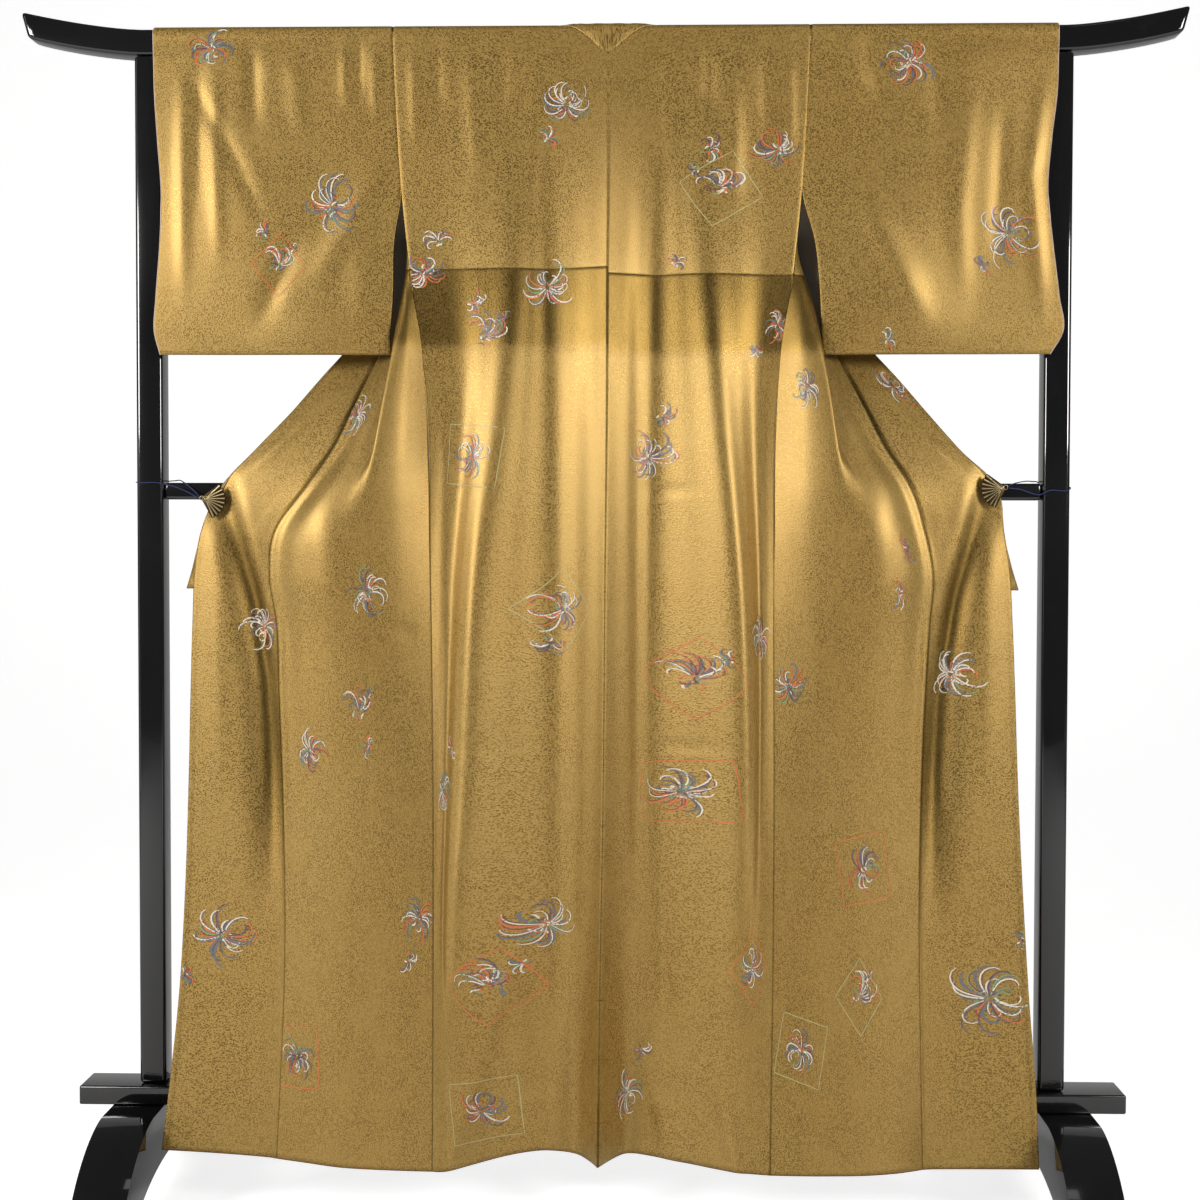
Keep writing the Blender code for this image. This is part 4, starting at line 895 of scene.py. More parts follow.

# %% [markdown]
# ## Folds and creases
#
# The tables give the large folds. The small ones are laid in one by one: each is a soft ridge or
# trough along a line, with its own depth and width, fading out at both ends. Lines are given by
# distance from the middle and height, in centimetres, and height or depth in millimetres. Silk
# pulled by a clip creases in rays; silk laid over a rail falls in small upright pleats; and the
# folds of storage leave faint level lines.


# %% A crease
DEEP_FOLD = -10             # a trough deeper than this, in mm, is painted darker too
FOLD_SHADE = 0.5


def crease(sheet, layer, line, height, width):
    """A soft ridge (or a trough, if height is negative) on the near or far half of a sheet."""
    points = sheet.points
    half = np.argmax(points[:, points.shape[1] // 2, 2])
    rows = slice(0, half) if layer == "near" else slice(half, None)
    if layer == "all":
        rows = slice(None)
    flat = points[rows][..., (0, 2)] / CM
    line = np.asarray(line, float)
    run = np.concatenate(([0], np.cumsum(np.linalg.norm(np.diff(line, axis=0), axis=1))))
    nearest = np.full(flat.shape[:2], 1e9)
    share = np.zeros(flat.shape[:2])
    for a, b, start, end in zip(line, line[1:], run, run[1:]):
        t = np.clip(((flat - a) @ (b - a)) / ((b - a) @ (b - a)), 0, 1)
        gap = np.linalg.norm(flat - (a + t[..., None] * (b - a)), axis=-1)
        closer = gap < nearest
        nearest = np.where(closer, gap, nearest)
        share = np.where(closer, (start + t * (end - start)) / run[-1], share)
    fade = np.clip(np.minimum(share, 1 - share) / 0.38, 0, 1)
    fade = fade * fade * (3 - 2 * fade)
    profile = np.zeros(points.shape[:2])
    profile[rows] = np.exp(-(nearest / width) ** 2) * fade
    sheet.push(height * MM * profile)
    # A deep trough is also painted darker: painted shade in the fold.
    if height < DEEP_FOLD:
        sheet.tone *= 1 - FOLD_SHADE * profile

# %% Creases of the back
CREASES = (
    # small pleats under the rail
    ("body_left", "near", ((-8.5, 167), (-9.5, 150), (-10.5, 138)), 1.4, 1.2),
    ("body_left", "near", ((-13.8, 167), (-14.2, 152)), -1.6, 0.8),
    ("body_left", "near", ((-18.6, 167), (-18, 156), (-17, 144)), 1.7, 1.1),
    ("body_left", "near", ((-23.4, 167), (-23, 155)), -1.5, 0.8),
    ("body_left", "near", ((-26.6, 167), (-26.2, 150)), 1.5, 0.8),
    ("body_left", "near", ((-2.6, 167.4), (0.5, 164.4)), -0.8, 0.35),
    ("body_right", "near", ((5.2, 167.3), (1.6, 164.4)), -0.8, 0.35),
    ("body_right", "near", ((9.2, 167), (9.8, 148)), 1.3, 1.0),
    ("body_right", "near", ((15.4, 167.5), (15.2, 154)), -3.2, 0.8),
    ("body_right", "near", ((18.2, 165), (18.8, 154), (18.6, 141)), 3.0, 1.3),
    ("body_right", "near", ((22.9, 167), (23.6, 151)), -1.8, 0.9),
    ("body_right", "near", ((26.4, 167), (26.9, 148)), 1.8, 0.8),
    # long folds of the back
    ("body_left", "near", ((-21.4, 122), (-22.0, 100), (-22.6, 74)), -1.6, 1.0),
    ("body_left", "near", ((-16.5, 122), (-17.8, 96), (-18.6, 66)), 1.6, 1.6),
    ("body_left", "near", ((-11.2, 42), (-16.5, 25), (-22.0, 4)), 4.0, 1.9),
    ("body_left", "near", ((-9.8, 40), (-8.6, 26), (-7.4, 6)), -3.0, 1.5),
    ("body_left", "near", ((-3.2, 44), (-5.0, 26), (-6.4, 4)), 2.4, 1.2),
    ("body_right", "near", ((14.2, 146), (17, 110), (20, 86), (22, 66)), 1.6, 1.6),
    ("body_right", "near", ((5.2, 30), (8.0, 18), (12.0, 3)), 3.0, 1.4),
    ("body_right", "near", ((16.4, 24), (18.2, 14), (20.6, 3)), 2.6, 1.1),
    ("body_right", "near", ((9.0, 60), (8.6, 40), (10.2, 20)), -1.8, 1.4),
    # level lines where the garment was folded away
    ("body_left", "near", ((-23, 102.8), (-13, 102.4)), -0.7, 0.45),
    ("body_right", "near", ((4.5, 102.6), (15, 103.0)), -0.7, 0.45),
    ("body_left", "near", ((-22, 66.6), (-12, 66.2)), -0.6, 0.4),
    ("body_right", "near", ((6, 67.0), (20, 66.5)), -0.6, 0.4),
    # front panels, pulled out by the clips
    ("body_left", "far", ((-40, 108), (-38.5, 96), (-37, 80)), 2.6, 2.8),
    ("body_left", "far", ((-31.4, 84), (-25, 82)), -1.2, 0.8),
    ("body_left", "far", ((-30, 71), (-24.5, 72)), -1.2, 0.9),
    ("body_left", "far", ((-32, 59), (-25, 56)), -1.4, 0.9),
    ("body_left", "far", ((-33, 48), (-26, 46)), -1.0, 0.8),
    ("body_left", "far", ((-32.2, 90), (-32.4, 42)), -0.35, 0.3),
    ("body_right", "far", ((38, 108), (38.6, 96), (39, 80)), 2.6, 2.8),
    ("body_right", "far", ((27, 66), (34, 64)), -1.2, 0.9),
    ("body_right", "far", ((28, 57), (34.5, 56)), -1.1, 0.8),
    ("body_right", "far", ((30, 88), (31, 60)), 0.9, 1.2),
    ("okumi_left", "all", ((-57, 113), (-52.6, 98), (-49.6, 88), (-47.4, 76), (-46.2, 40)), -13.0, 2.3),
    ("okumi_left", "all", ((-54, 113), (-50.4, 98), (-47.2, 86), (-45.2, 60)), 3.0, 1.3),
    ("okumi_left", "all", ((-53, 103), (-46, 109), (-38, 118)), 1.6, 0.9),
    ("okumi_left", "all", ((-55.2, 92), (-54.5, 76), (-54, 58)), 1.6, 1.4),
    ("okumi_right", "all", ((57, 113), (53.2, 98), (50.4, 88), (48.0, 74), (46.8, 38)), -13.0, 2.3),
    ("okumi_right", "all", ((54.6, 113), (51.0, 98), (48.4, 86), (46.0, 62)), 3.0, 1.3),
    ("okumi_right", "all", ((53, 104), (46, 110), (38, 119)), 1.6, 0.9),
    ("okumi_right", "all", ((55.4, 92), (55.0, 76), (54.6, 58)), 1.6, 1.4),
    # left sleeve
    ("sleeve_left", "near", ((-59.4, 167), (-59.4, 146), (-59.2, 127)), 2.0, 1.0),
    ("sleeve_left", "near", ((-55.0, 167), (-54.6, 150), (-54.0, 132)), 1.8, 1.0),
    ("sleeve_left", "near", ((-57.2, 167), (-57.0, 140)), -1.2, 0.8),
    ("sleeve_left", "near", ((-49.6, 167.5), (-49.2, 152)), -2.6, 1.1),
    ("sleeve_left", "near", ((-61.6, 166), (-52, 150), (-45.6, 136)), -1.4, 1.0),
    ("sleeve_left", "near", ((-29.4, 151), (-36, 140), (-42.4, 129)), 3.4, 1.9),
    ("sleeve_left", "near", ((-34.6, 144), (-33.2, 123)), 2.2, 2.2),
    ("sleeve_left", "near", ((-42, 140), (-49.4, 125)), -2.8, 1.5),
    ("sleeve_left", "near", ((-36.4, 167.5), (-36.2, 156)), 1.8, 0.7),
    ("sleeve_left", "near", ((-34.3, 167.5), (-34.4, 157)), -2.0, 0.6),
    ("sleeve_left", "near", ((-32.2, 167.5), (-31.8, 154)), 1.8, 0.7),
    ("sleeve_left", "near", ((-44, 166), (-42.5, 152)), 1.4, 1.3),
    # right sleeve
    ("sleeve_right", "near", ((35, 149), (41, 136), (47, 124)), 3.8, 2.1),
    ("sleeve_right", "near", ((62.9, 165), (60.4, 147), (62.6, 124)), 2.4, 1.1),
    ("sleeve_right", "near", ((33.6, 167.6), (37.4, 158)), 2.2, 0.9),
    ("sleeve_right", "near", ((36.4, 167.6), (40.6, 156)), -2.4, 0.9),
    ("sleeve_right", "near", ((46.6, 167), (48, 150)), -1.8, 1.3),
    ("sleeve_right", "near", ((52.4, 166), (50.4, 142), (51.4, 125)), 2.0, 1.5),
    ("sleeve_right", "near", ((56.6, 160), (55.6, 132)), -2.0, 1.3),
    # hidden sides
    ("sleeve_left", "far", ((-57, 167), (-54, 146), (-55, 125)), 2.4, 1.5),
    ("sleeve_left", "far", ((-46, 167), (-42, 146), (-44, 126)), -2.2, 1.6),
    ("sleeve_left", "far", ((-35, 166), (-38, 142)), 1.8, 1.4),
    ("sleeve_right", "far", ((56, 167), (54, 147), (56, 125)), 2.4, 1.5),
    ("sleeve_right", "far", ((45, 167), (43, 146), (46, 125)), -2.2, 1.6),
    ("sleeve_right", "far", ((34, 166), (37, 144)), 1.8, 1.4),
)
FOLD_DEPTH = 1.25
for name, layer, line, height, width in CREASES:
    crease(sheets[name], layer, line, FOLD_DEPTH * height, width)
print(len(CREASES), "creases laid in")

# %% [markdown]
# ## Seams, the waist tuck and the walls
#
# A kimono is sewn with hidden running stitches, so a seam shows as a fine groove where two pieces
# turn in; the silk along it is painted darker, as painted shade in the groove. The back has a tuck
# across it, a hand's width under the shoulders, that takes up spare length: a straight seam on top
# and a doubled band below it. Both are small steps in the surface, and both are painted darker, as
# painted shade.
# A Solidify modifier then gives each sheet its wall, silk outside and lining inside.

# %% Seams and tuck
SEWN = {"body_left": (0, 1), "body_right": (0, 1), "okumi_left": (0,), "okumi_right": (0,),
        "sleeve_left": (0,), "sleeve_right": (0,)}
SIDE_SEAM_TOP = 132.5
for name, sewn in SEWN.items():
    sheet = sheets[name]
    groove = np.zeros(sheet.points.shape[:2])
    mirrored = sheet.along[-1] + HEM - sheet.along
    side_seam = np.minimum(sheet.along, mirrored) < SIDE_SEAM_TOP
    for edge in sewn:
        distance = sheet.over if edge == 0 else sheet.over[-1] - sheet.over
        dip = np.repeat(np.exp(-(distance / 0.0020) ** 2)[None, :], len(groove), axis=0)
        if name.startswith("body") and edge == 0:
            dip[side_seam] = 0
        groove = groove + dip
        # Each sewn edge is painted darker: painted shade in the seam's groove.
        sheet.tone *= 1 - 0.60 * np.exp(-(distance / 0.0015) ** 2)[None, :]
    sheet.push(-0.0008 * groove)

for side in ("left", "right"):
    sheet = sheets["body_" + side]
    mirrored = sheet.along[-1] + HEM - sheet.along
    level = np.minimum(sheet.along, mirrored)
    depth = TUCK_SEAM[side] - level
    inside = np.clip(depth / 0.12, 0, 1) * np.clip((TUCK_DEEP + 0.8 - depth) / 1.6, 0, 1)
    line = np.exp(-(depth / 0.12) ** 2)
    sheet.push(np.repeat((0.0008 * inside - 0.0003 * line)[:, None], sheet.points.shape[1], axis=1))
    # The doubled band, and faintly the tuck's seam line, are painted darker: painted shade.
    sheet.tone *= (1 - 0.42 * inside - 0.04 * line)[:, None]

# %% The front panel's fold over the overlap seam
# Pulled out by the clip, the front panel hangs over the seam. The shade under it is painted into the
# tone of the overlap panel, and so is the row of stitches near that panel's outer edge. Lifting one
# edge and sinking the other parts them by up to 14 mm: from behind, the seam stands open here.
FRONT_LIFT, FRONT_REACH, FRONT_ASIDE = 0.0045, 0.012, 0.0020
SEAM_SINK, SEAM_REACH = -0.0050, 0.013
OVERHANG_SHADE = 0.78
STITCH_SHADE = 0.35
STITCH_IN, STITCH_WIDTH = 0.0045, 0.0012
for side, sign in (("left", -1), ("right", 1)):
    front, under = sheets["body_" + side], sheets["okumi_" + side]
    for sheet, reach, height, aside in ((front, FRONT_REACH, FRONT_LIFT, FRONT_ASIDE),
                                        (under, SEAM_REACH, SEAM_SINK, 0)):
        z = sheet.points[..., 2] / CM
        window = np.clip((z - 40) / 40, 0, 1) * np.clip((126 - z) / 8, 0, 1)
        distance = sheet.over if sheet is under else sheet.over[-1] - sheet.over
        window = window * np.exp(-(distance / reach) ** 2)[None, :]
        if sheet is front:
            window[sheet.along < sheet.along[-1] / 2] = 0
        sheet.push(height * window)
        sheet.points[..., 0] += sign * aside * window
        if sheet is under:
            edge = front.points[front.along > front.along[-1] / 2, -1]
            edge = edge[np.argsort(edge[:, 2])]
            gap = sign * (sheet.points[..., 0] - np.interp(sheet.points[..., 2], edge[:, 2], edge[:, 0]))
            wide = 0.005 + 0.006 * np.clip((z - 92) / 12, 0, 1)
            shade = np.clip((z - 36) / 30, 0, 1) * np.clip((124 - z) / 8, 0, 1)
            sheet.tone *= 1 - OVERHANG_SHADE * shade * np.clip((wide - gap) / 0.003, 0, 1)
            stitch = np.exp(-((sheet.over[-1] - sheet.over - STITCH_IN) / STITCH_WIDTH) ** 2)
            sheet.tone *= 1 - STITCH_SHADE * stitch[None, :]

# The far layer of each sleeve swings in behind the open armpit, and is painted darker there, as painted
# shade.
SWING_IN, SWING_BACK = 0.026, 0.008
ARMPIT_SHADE = 0.8
for side, sign in (("left", -1), ("right", 1)):
    sheet = sheets["sleeve_" + side]
    z = sheet.points[..., 2] / CM
    window = np.clip((144.5 - z) / 6, 0, 1) * np.exp(-(sheet.over / 0.05) ** 2)[None, :]
    window[:np.argmax(z[:, z.shape[1] // 2])] = 0
    sheet.points[..., 0] -= sign * SWING_IN * window
    sheet.points[..., 1] += SWING_BACK * window
    sheet.tone *= 1 - ARMPIT_SHADE * window


# %% Sheets with a wall
RUSSET_UP_TO = 0.62         # the coloured lower lining reaches this high, in metres


def cloth_piece(name, sheet, linings):
    """Silk outside and lining inside, from a sheet of points."""
    points = sheet.points
    rows, cols = points.shape[:2]
    k = np.arange(rows * cols).reshape(rows, cols)
    quads = np.stack((k[:-1, :-1], k[:-1, 1:], k[1:, 1:], k[1:, :-1]), axis=-1).reshape(-1, 4)
    if sheet.facing < 0:
        quads = quads[:, ::-1]
    obj = mesh_object(name, points.reshape(-1, 3).tolist(), quads.tolist(),
                      [gold_silk, pale_lining, *linings])
    mesh = obj.data
    uv = np.stack(np.broadcast_arrays(sheet.over[None, :], sheet.along[:, None] * CM), axis=-1).reshape(-1, 2)
    layer = mesh.uv_layers.new(name="cloth")
    layer.data.foreach_set("uv", uv[quads.reshape(-1)].astype(np.float32).ravel())
    tone = mesh.attributes.new("tone", "FLOAT", "POINT")
    tone.data.foreach_set("value", sheet.tone.astype(np.float32).ravel())
    if linings:
        heights = points.reshape(-1, 3)[quads, 2].mean(axis=1)
        mesh.polygons.foreach_set("material_index", np.where(heights < RUSSET_UP_TO, 2, 0).astype(np.int32))
    mesh.polygons.foreach_set("use_smooth", [True] * len(quads))
    wall = obj.modifiers.new("wall", "SOLIDIFY")
    wall.thickness, wall.offset, wall.material_offset = WALL, 0.0, 1
    only(obj)
    bpy.ops.object.modifier_apply(modifier="wall")
    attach(obj, "root")
    return obj


for name, sheet in sheets.items():
    two_linings = [gold_silk, russet_lining] if name.startswith(("body", "okumi")) else []
    cloth_piece("silk_" + name, sheet, two_linings)
    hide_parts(name)

# %% [markdown]
# ## Woven figures
#
# Over the gold ground the weaver has scattered small figures in ivory, slate blue, orange, plum
# and green: chrysanthemums whose petals curl like breaking waves, some inside a fine square or
# lozenge. They are 3 to 9 cm across. They are drawn afresh here: a petal is a stroke that sets out
# straight and curls at its tip, a figure is a fan of petals, and every stroke is a narrow ribbon
# laid on the silk through the cloth's own rows and columns, so it bends with the folds.

# %% Strokes and figures
IVORY, SLATE, ORANGE = (0.86, 0.80, 0.68), (0.10, 0.15, 0.20), (0.72, 0.15, 0.03)
PLUM, LEAF, GOLD_LINE = (0.10, 0.03, 0.06), (0.20, 0.34, 0.16), (0.50, 0.46, 0.20)


def petal(start, heading, length, curl, width, colour, steps=9):
    """A stroke that curls more and more towards its tip."""
    x, y = start
    points = [(x, y)]
    for k in range(steps):
        share = (k + 0.5) / steps
        turn = heading + curl * share ** 2.2
        x += math.cos(turn) * length / steps
        y += math.sin(turn) * length / steps
        points.append((x, y))
    widths = [width * (0.45 + 0.75 * math.sin(math.pi * (0.12 + 0.8 * k / steps))) for k in range(steps + 1)]
    return points, widths, colour


def flower(chance, size, petals=15, spread=4.2, tilt=0.0, lean=0.0):
    """A fan of petals that curl away from its middle, round a knot of short strokes."""
    strokes = []
    for k in range(petals):
        offset = spread * (k / (petals - 1) - 0.5)
        heading = tilt + offset + chance.uniform(-0.12, 0.12)
        length = size * chance.uniform(0.26, 0.58)
        curl = (math.copysign(1, offset + lean) if abs(lean) < 9 else 1) * chance.uniform(1.6, 3.6)
        base = (math.cos(heading) * size * 0.05, math.sin(heading) * size * 0.05)
        colour = chance.choices((IVORY, SLATE, ORANGE, PLUM, LEAF), (8, 4, 5, 2, 2))[0]
        under = {PLUM: SLATE, ORANGE: PLUM}.get(colour, PLUM if k % 2 else SLATE)
        shadow = (base[0] + 0.0013 * math.sin(heading), base[1] - 0.0013 * math.cos(heading))
        strokes.append(petal(shadow, heading, length * 0.92, curl * 0.95, 0.0005, under))
        strokes.append(petal(base, heading, length, curl, chance.uniform(0.0005, 0.0010), colour))
    for _ in range(petals):
        heading = tilt + chance.uniform(-math.pi, math.pi)
        start = (chance.uniform(-0.12, 0.12) * size, chance.uniform(-0.12, 0.12) * size)
        colour = chance.choice((ORANGE, IVORY, SLATE, LEAF, PLUM))
        strokes.append(petal(start, heading, size * 0.12, chance.uniform(-2, 2), 0.0009, colour, 4))
    return strokes


def wave(chance, size):
    """Long petals that all curl over to one side, as a breaking wave, with a small bud beside."""
    strokes = flower(chance, size * 1.3, 14, 1.9, chance.uniform(0.2, 1.6), 10.0)
    bud = flower(chance, size * 0.5, 5, 2.2, chance.uniform(2.0, 4.0))
    aside = chance.choice((-0.42, 0.42)) * size
    return strokes + [([(x + aside, y + 0.45 * size) for x, y in points], widths, colour)
                      for points, widths, colour in bud]


def outline(kind, size, chance):
    """A fine square, lozenge or fan round a figure."""
    r = size * 0.62
    if kind == "square":
        corners = [(-r, -r * 0.8), (r * 0.9, -r), (r, r * 0.85), (-r * 0.9, r)]
    elif kind == "lozenge":
        corners = [(0, -r * 1.15), (r, -0.1 * r), (r * 0.1, r * 1.15), (-r, 0.1 * r)]
    else:
        corners = [(0, -r)] + [(r * 1.15 * math.sin(a), r * math.cos(a)) for a in (-0.9, -0.45, 0, 0.45, 0.9)]
    turn = chance.uniform(-0.25, 0.25)
    corners = [(x * math.cos(turn) - y * math.sin(turn), x * math.sin(turn) + y * math.cos(turn))
               for x, y in corners]
    colour = chance.choice((ORANGE, ORANGE, GOLD_LINE, LEAF))
    points = []
    for (ax, ay), (bx, by) in zip(corners, corners[1:] + corners[:1]):
        points += [(ax + (bx - ax) * k / 8 + chance.uniform(-1, 1) * 0.0004,
                    ay + (by - ay) * k / 8 + chance.uniform(-1, 1) * 0.0004) for k in range(8)]
    return [(points + points[:1], [0.00060] * (len(points) + 1), colour)]


# %% Laying strokes on the cloth
def nearest_place(sheet, layer, x, z):
    """Row and column of the sheet's point nearest to x and z, in cm, on its near or far half."""
    points = sheet.points
    half = np.argmax(points[:, points.shape[1] // 2, 2])
    rows = np.arange(len(points))
    keep = (rows < half) if layer == "near" else (rows >= half)
    if layer == "all":
        keep = rows >= 0
    gap = np.hypot(points[..., 0] - x * CM, points[..., 2] - z * CM)
    gap = np.where(keep[:, None], gap, 9.0)
    return np.unravel_index(np.argmin(gap), gap.shape)


def on_cloth(sheet, face, over, along):
    """The point of the silk's face at a place across and along the cloth, both in metres."""
    j = np.interp(over, sheet.over, np.arange(len(sheet.over)))
    i = np.interp(along / CM, sheet.along, np.arange(len(sheet.along)))
    i0, j0 = min(int(i), len(sheet.along) - 2), min(int(j), len(sheet.over) - 2)
    s, t = i - i0, j - j0
    return ((1 - s) * ((1 - t) * face[i0, j0] + t * face[i0, j0 + 1])
            + s * ((1 - t) * face[i0 + 1, j0] + t * face[i0 + 1, j0 + 1]))


LIFT = 0.00035


def lay_strokes(name, sheet, figures):
    """One piece with every figure of a sheet: ribbons that follow the silk."""
    verts, faces, colours = [], [], []
    face = sheet.points + sheet.outward() * (WALL / 2 + LIFT)
    outward = sheet.outward()
    for layer, x, z, strokes in figures:
        first_face = len(faces)
        row, column = nearest_place(sheet, layer, x, z)
        over0, along0 = sheet.over[column], sheet.along[row] * CM
        up = 1 if layer != "far" else -1
        cross = 1 if sheet.points[row, -1, 0] > sheet.points[row, 0, 0] else -1
        for points, widths, colour in strokes:
            points = np.asarray(points)
            side_way = np.gradient(points, axis=0)
            side_way = unit(np.stack((-side_way[:, 1], side_way[:, 0]), axis=-1))
            edges = np.stack((points + side_way * np.array(widths)[:, None],
                              points - side_way * np.array(widths)[:, None]), axis=1)
            last = None
            for pair in edges:
                places = [(over0 + cross * p[0], along0 + up * p[1]) for p in pair]
                if min(p[0] for p in places) < 0.001 or max(p[0] for p in places) > sheet.over[-1] - 0.001:
                    last = None
                    continue
                if min(p[1] for p in places) < sheet.along[0] * CM + 0.002:
                    last = None
                    continue
                verts += [on_cloth(sheet, face, *p) for p in places]
                colours += [(*colour, 1.0)] * 2
                k = len(verts) - 2
                if last is not None:
                    faces.append((last, last + 1, k + 1, k))
                last = k
        if len(faces) > first_face:
            a, b, c, _ = (np.array(verts[v]) for v in faces[first_face])
            if np.cross(b - a, c - a) @ outward[row, column] < 0:
                faces[first_face:] = [face[::-1] for face in faces[first_face:]]
    obj = mesh_object(name, verts, faces, [figure_silk])
    attribute = obj.data.attributes.new("thread", "FLOAT_COLOR", "POINT")
    attribute.data.foreach_set("color", np.array(colours, np.float32).ravel())
    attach(obj, "root")
    return obj


# %% Where the figures lie: sheet, half, x, z in cm, kind, size in cm, outline
FIGURES = (
    ("sleeve_left", "near", -55.5, 165, "flower", 6, None),
    ("sleeve_left", "near", -37.9, 143, "flower", 8, None),
    ("sleeve_left", "near", -47.5, 139.5, "bud", 3.5, None),
    ("sleeve_left", "near", -45.5, 134.5, "wave", 5, "lozenge"),
    ("body_left", "near", -4.8, 157, "flower", 7, None), ("body_left", "near", -7.6, 152.5, "bud", 3.5, None),
    ("body_left", "near", -23.2, 138, "bud", 4, None), ("body_left", "near", -25, 133.5, "flower", 5, None),
    ("body_left", "near", -7.6, 131.5, "flower", 7, None),
    ("body_left", "near", -18.2, 129.5, "bud", 4, None),
    ("body_left", "near", -16.5, 124.5, "wave", 6, None),
    ("body_left", "near", -18, 107.5, "flower", 6, "square"),
    ("body_left", "near", -5, 85.8, "flower", 6.5, "lozenge"),
    ("body_left", "near", -6.8, 80.8, "bud", 4.5, None),
    ("body_left", "near", -20.6, 67, "bud", 4, None), ("body_left", "near", -22, 60.5, "flower", 6, None),
    ("body_left", "near", -7.2, 41.5, "flower", 7, None),
    ("body_left", "near", -15.4, 33, "wave", 6, "lozenge"),
    ("body_left", "near", -16.4, 15.5, "flower", 6, "square"),
    ("body_left", "far", -34.4, 113, "flower", 6, None), ("body_left", "far", -32.3, 88, "flower", 7, None),
    ("body_left", "far", -33.6, 71.5, "wave", 6, None), ("body_left", "far", -32, 66.5, "bud", 4, None),
    ("body_left", "far", -40.6, 66, "flower", 6, None), ("body_left", "far", -25, 43, "flower", 6, None),
    ("body_left", "far", -26.4, 37, "bud", 4, None), ("body_left", "far", -42.2, 23, "flower", 6, "square"),
    ("okumi_left", "all", -47.8, 83, "flower", 6, None),
    ("okumi_left", "all", -53.4, 39.4, "flower", 7, None),
    ("okumi_left", "all", -59, 33.8, "bud", 3, None),
    ("sleeve_right", "near", 43.5, 163, "flower", 7, None),
    ("sleeve_right", "near", 57, 138.7, "flower", 8, None),
    ("sleeve_right", "near", 54, 134.8, "bud", 3.5, None),
    ("sleeve_right", "near", 40, 123.6, "bud", 4, None),
    ("body_right", "near", 16.3, 145.3, "wave", 6, "lozenge"),
    ("body_right", "near", 15.3, 150.6, "bud", 4.5, None),
    ("body_right", "near", 24.7, 151, "flower", 6, None), ("body_right", "near", 10.7, 134.5, "bud", 3, None),
    ("body_right", "near", 25, 126, "flower", 5, None), ("body_right", "near", 22, 123, "bud", 3.5, None),
    ("body_right", "near", 8.5, 113, "bud", 4, None), ("body_right", "near", 6.6, 107.3, "flower", 7, None),
    ("body_right", "near", 22.7, 81.7, "flower", 7, None),
    ("body_right", "near", 13.2, 76.7, "wave", 6.5, "lozenge"),
    ("body_right", "near", 11.8, 60.5, "flower", 6, "square"),
    ("body_right", "near", 6, 23.5, "bud", 4, None),
    ("body_right", "near", 4, 17, "flower", 6, None),
    ("body_right", "near", 21.3, 36, "flower", 6, "lozenge"),
    ("body_right", "far", 29, 117, "flower", 6, None), ("body_right", "far", 43, 95, "bud", 4.5, None),
    ("body_right", "far", 41.5, 88.5, "bud", 4.5, None), ("body_right", "far", 26.6, 75.2, "flower", 6, None),
    ("body_right", "far", 37, 49.6, "flower", 6.5, "square"),
    ("body_right", "far", 28.2, 25.3, "flower", 6, "square"),
    ("body_right", "far", 36.3, 32.4, "wave", 6, "lozenge"),
    ("okumi_right", "all", 41.8, 117.5, "flower", 5, None),
    ("okumi_right", "all", 49.6, 76.7, "flower", 6.5, None),
    ("okumi_right", "all", 55, 31.7, "flower", 9, None), ("okumi_right", "all", 59.3, 39.4, "bud", 3, None),
    ("sleeve_left", "far", -40, 140, "flower", 7, None), ("sleeve_left", "far", -54, 153, "flower", 6, None),
    ("sleeve_right", "far", 42, 150, "flower", 7, None), ("sleeve_right", "far", 54, 134, "flower", 6, None),
)

for name, sheet in sheets.items():
    drawn = []
    for number, (owner, layer, x, z, kind, size, frame_kind) in enumerate(FIGURES):
        if owner != name:
            continue
        chance = random.Random(number)
        size = size * CM
        tilt = chance.uniform(-math.pi, math.pi)
        if kind == "wave":
            strokes = wave(chance, size)
        elif kind == "bud":
            strokes = flower(chance, size * 1.1, 9, 2.4, tilt)
        else:
            strokes = flower(chance, size * 1.2, 24, 5.0, tilt)
        if frame_kind:
            strokes += outline(frame_kind, size * 1.25, chance)
        drawn.append((layer, x, z, strokes))
    if drawn:
        lay_strokes("figures_" + name, sheet, drawn)

# %% [markdown]
# ## Edges
#
# At the hem and at the sleeve ends the lining is turned a hair past the silk, as a thin rolled
# edge: russet along the hem, pale pink at the cuffs. It shields the silk from wear. Each edge is a
# fine round cord of lining, run along the sheet's own border.


# %% Rolled edges
def rolled_edge(name, line, radius, material):
    """A fine roll of lining along a line of points."""
    curve = bpy.data.curves.new(name, "CURVE")
    curve.dimensions = "3D"
    curve.bevel_depth, curve.bevel_resolution, curve.use_fill_caps = radius, 2, True
    spline = curve.splines.new("POLY")
    spline.points.add(len(line) - 1)
    for point, spot in zip(spline.points, line):
        point.co = (*spot, 1)
    obj = bpy.data.objects.new(name, curve)
    bpy.context.scene.collection.objects.link(obj)
    only(obj)
    bpy.ops.object.convert(target="MESH")
    obj = bpy.context.object
    obj.data.materials.clear()
    obj.data.materials.append(material)
    obj.data.polygons.foreach_set("use_smooth", [True] * len(obj.data.polygons))
    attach(obj, "root")
    return obj


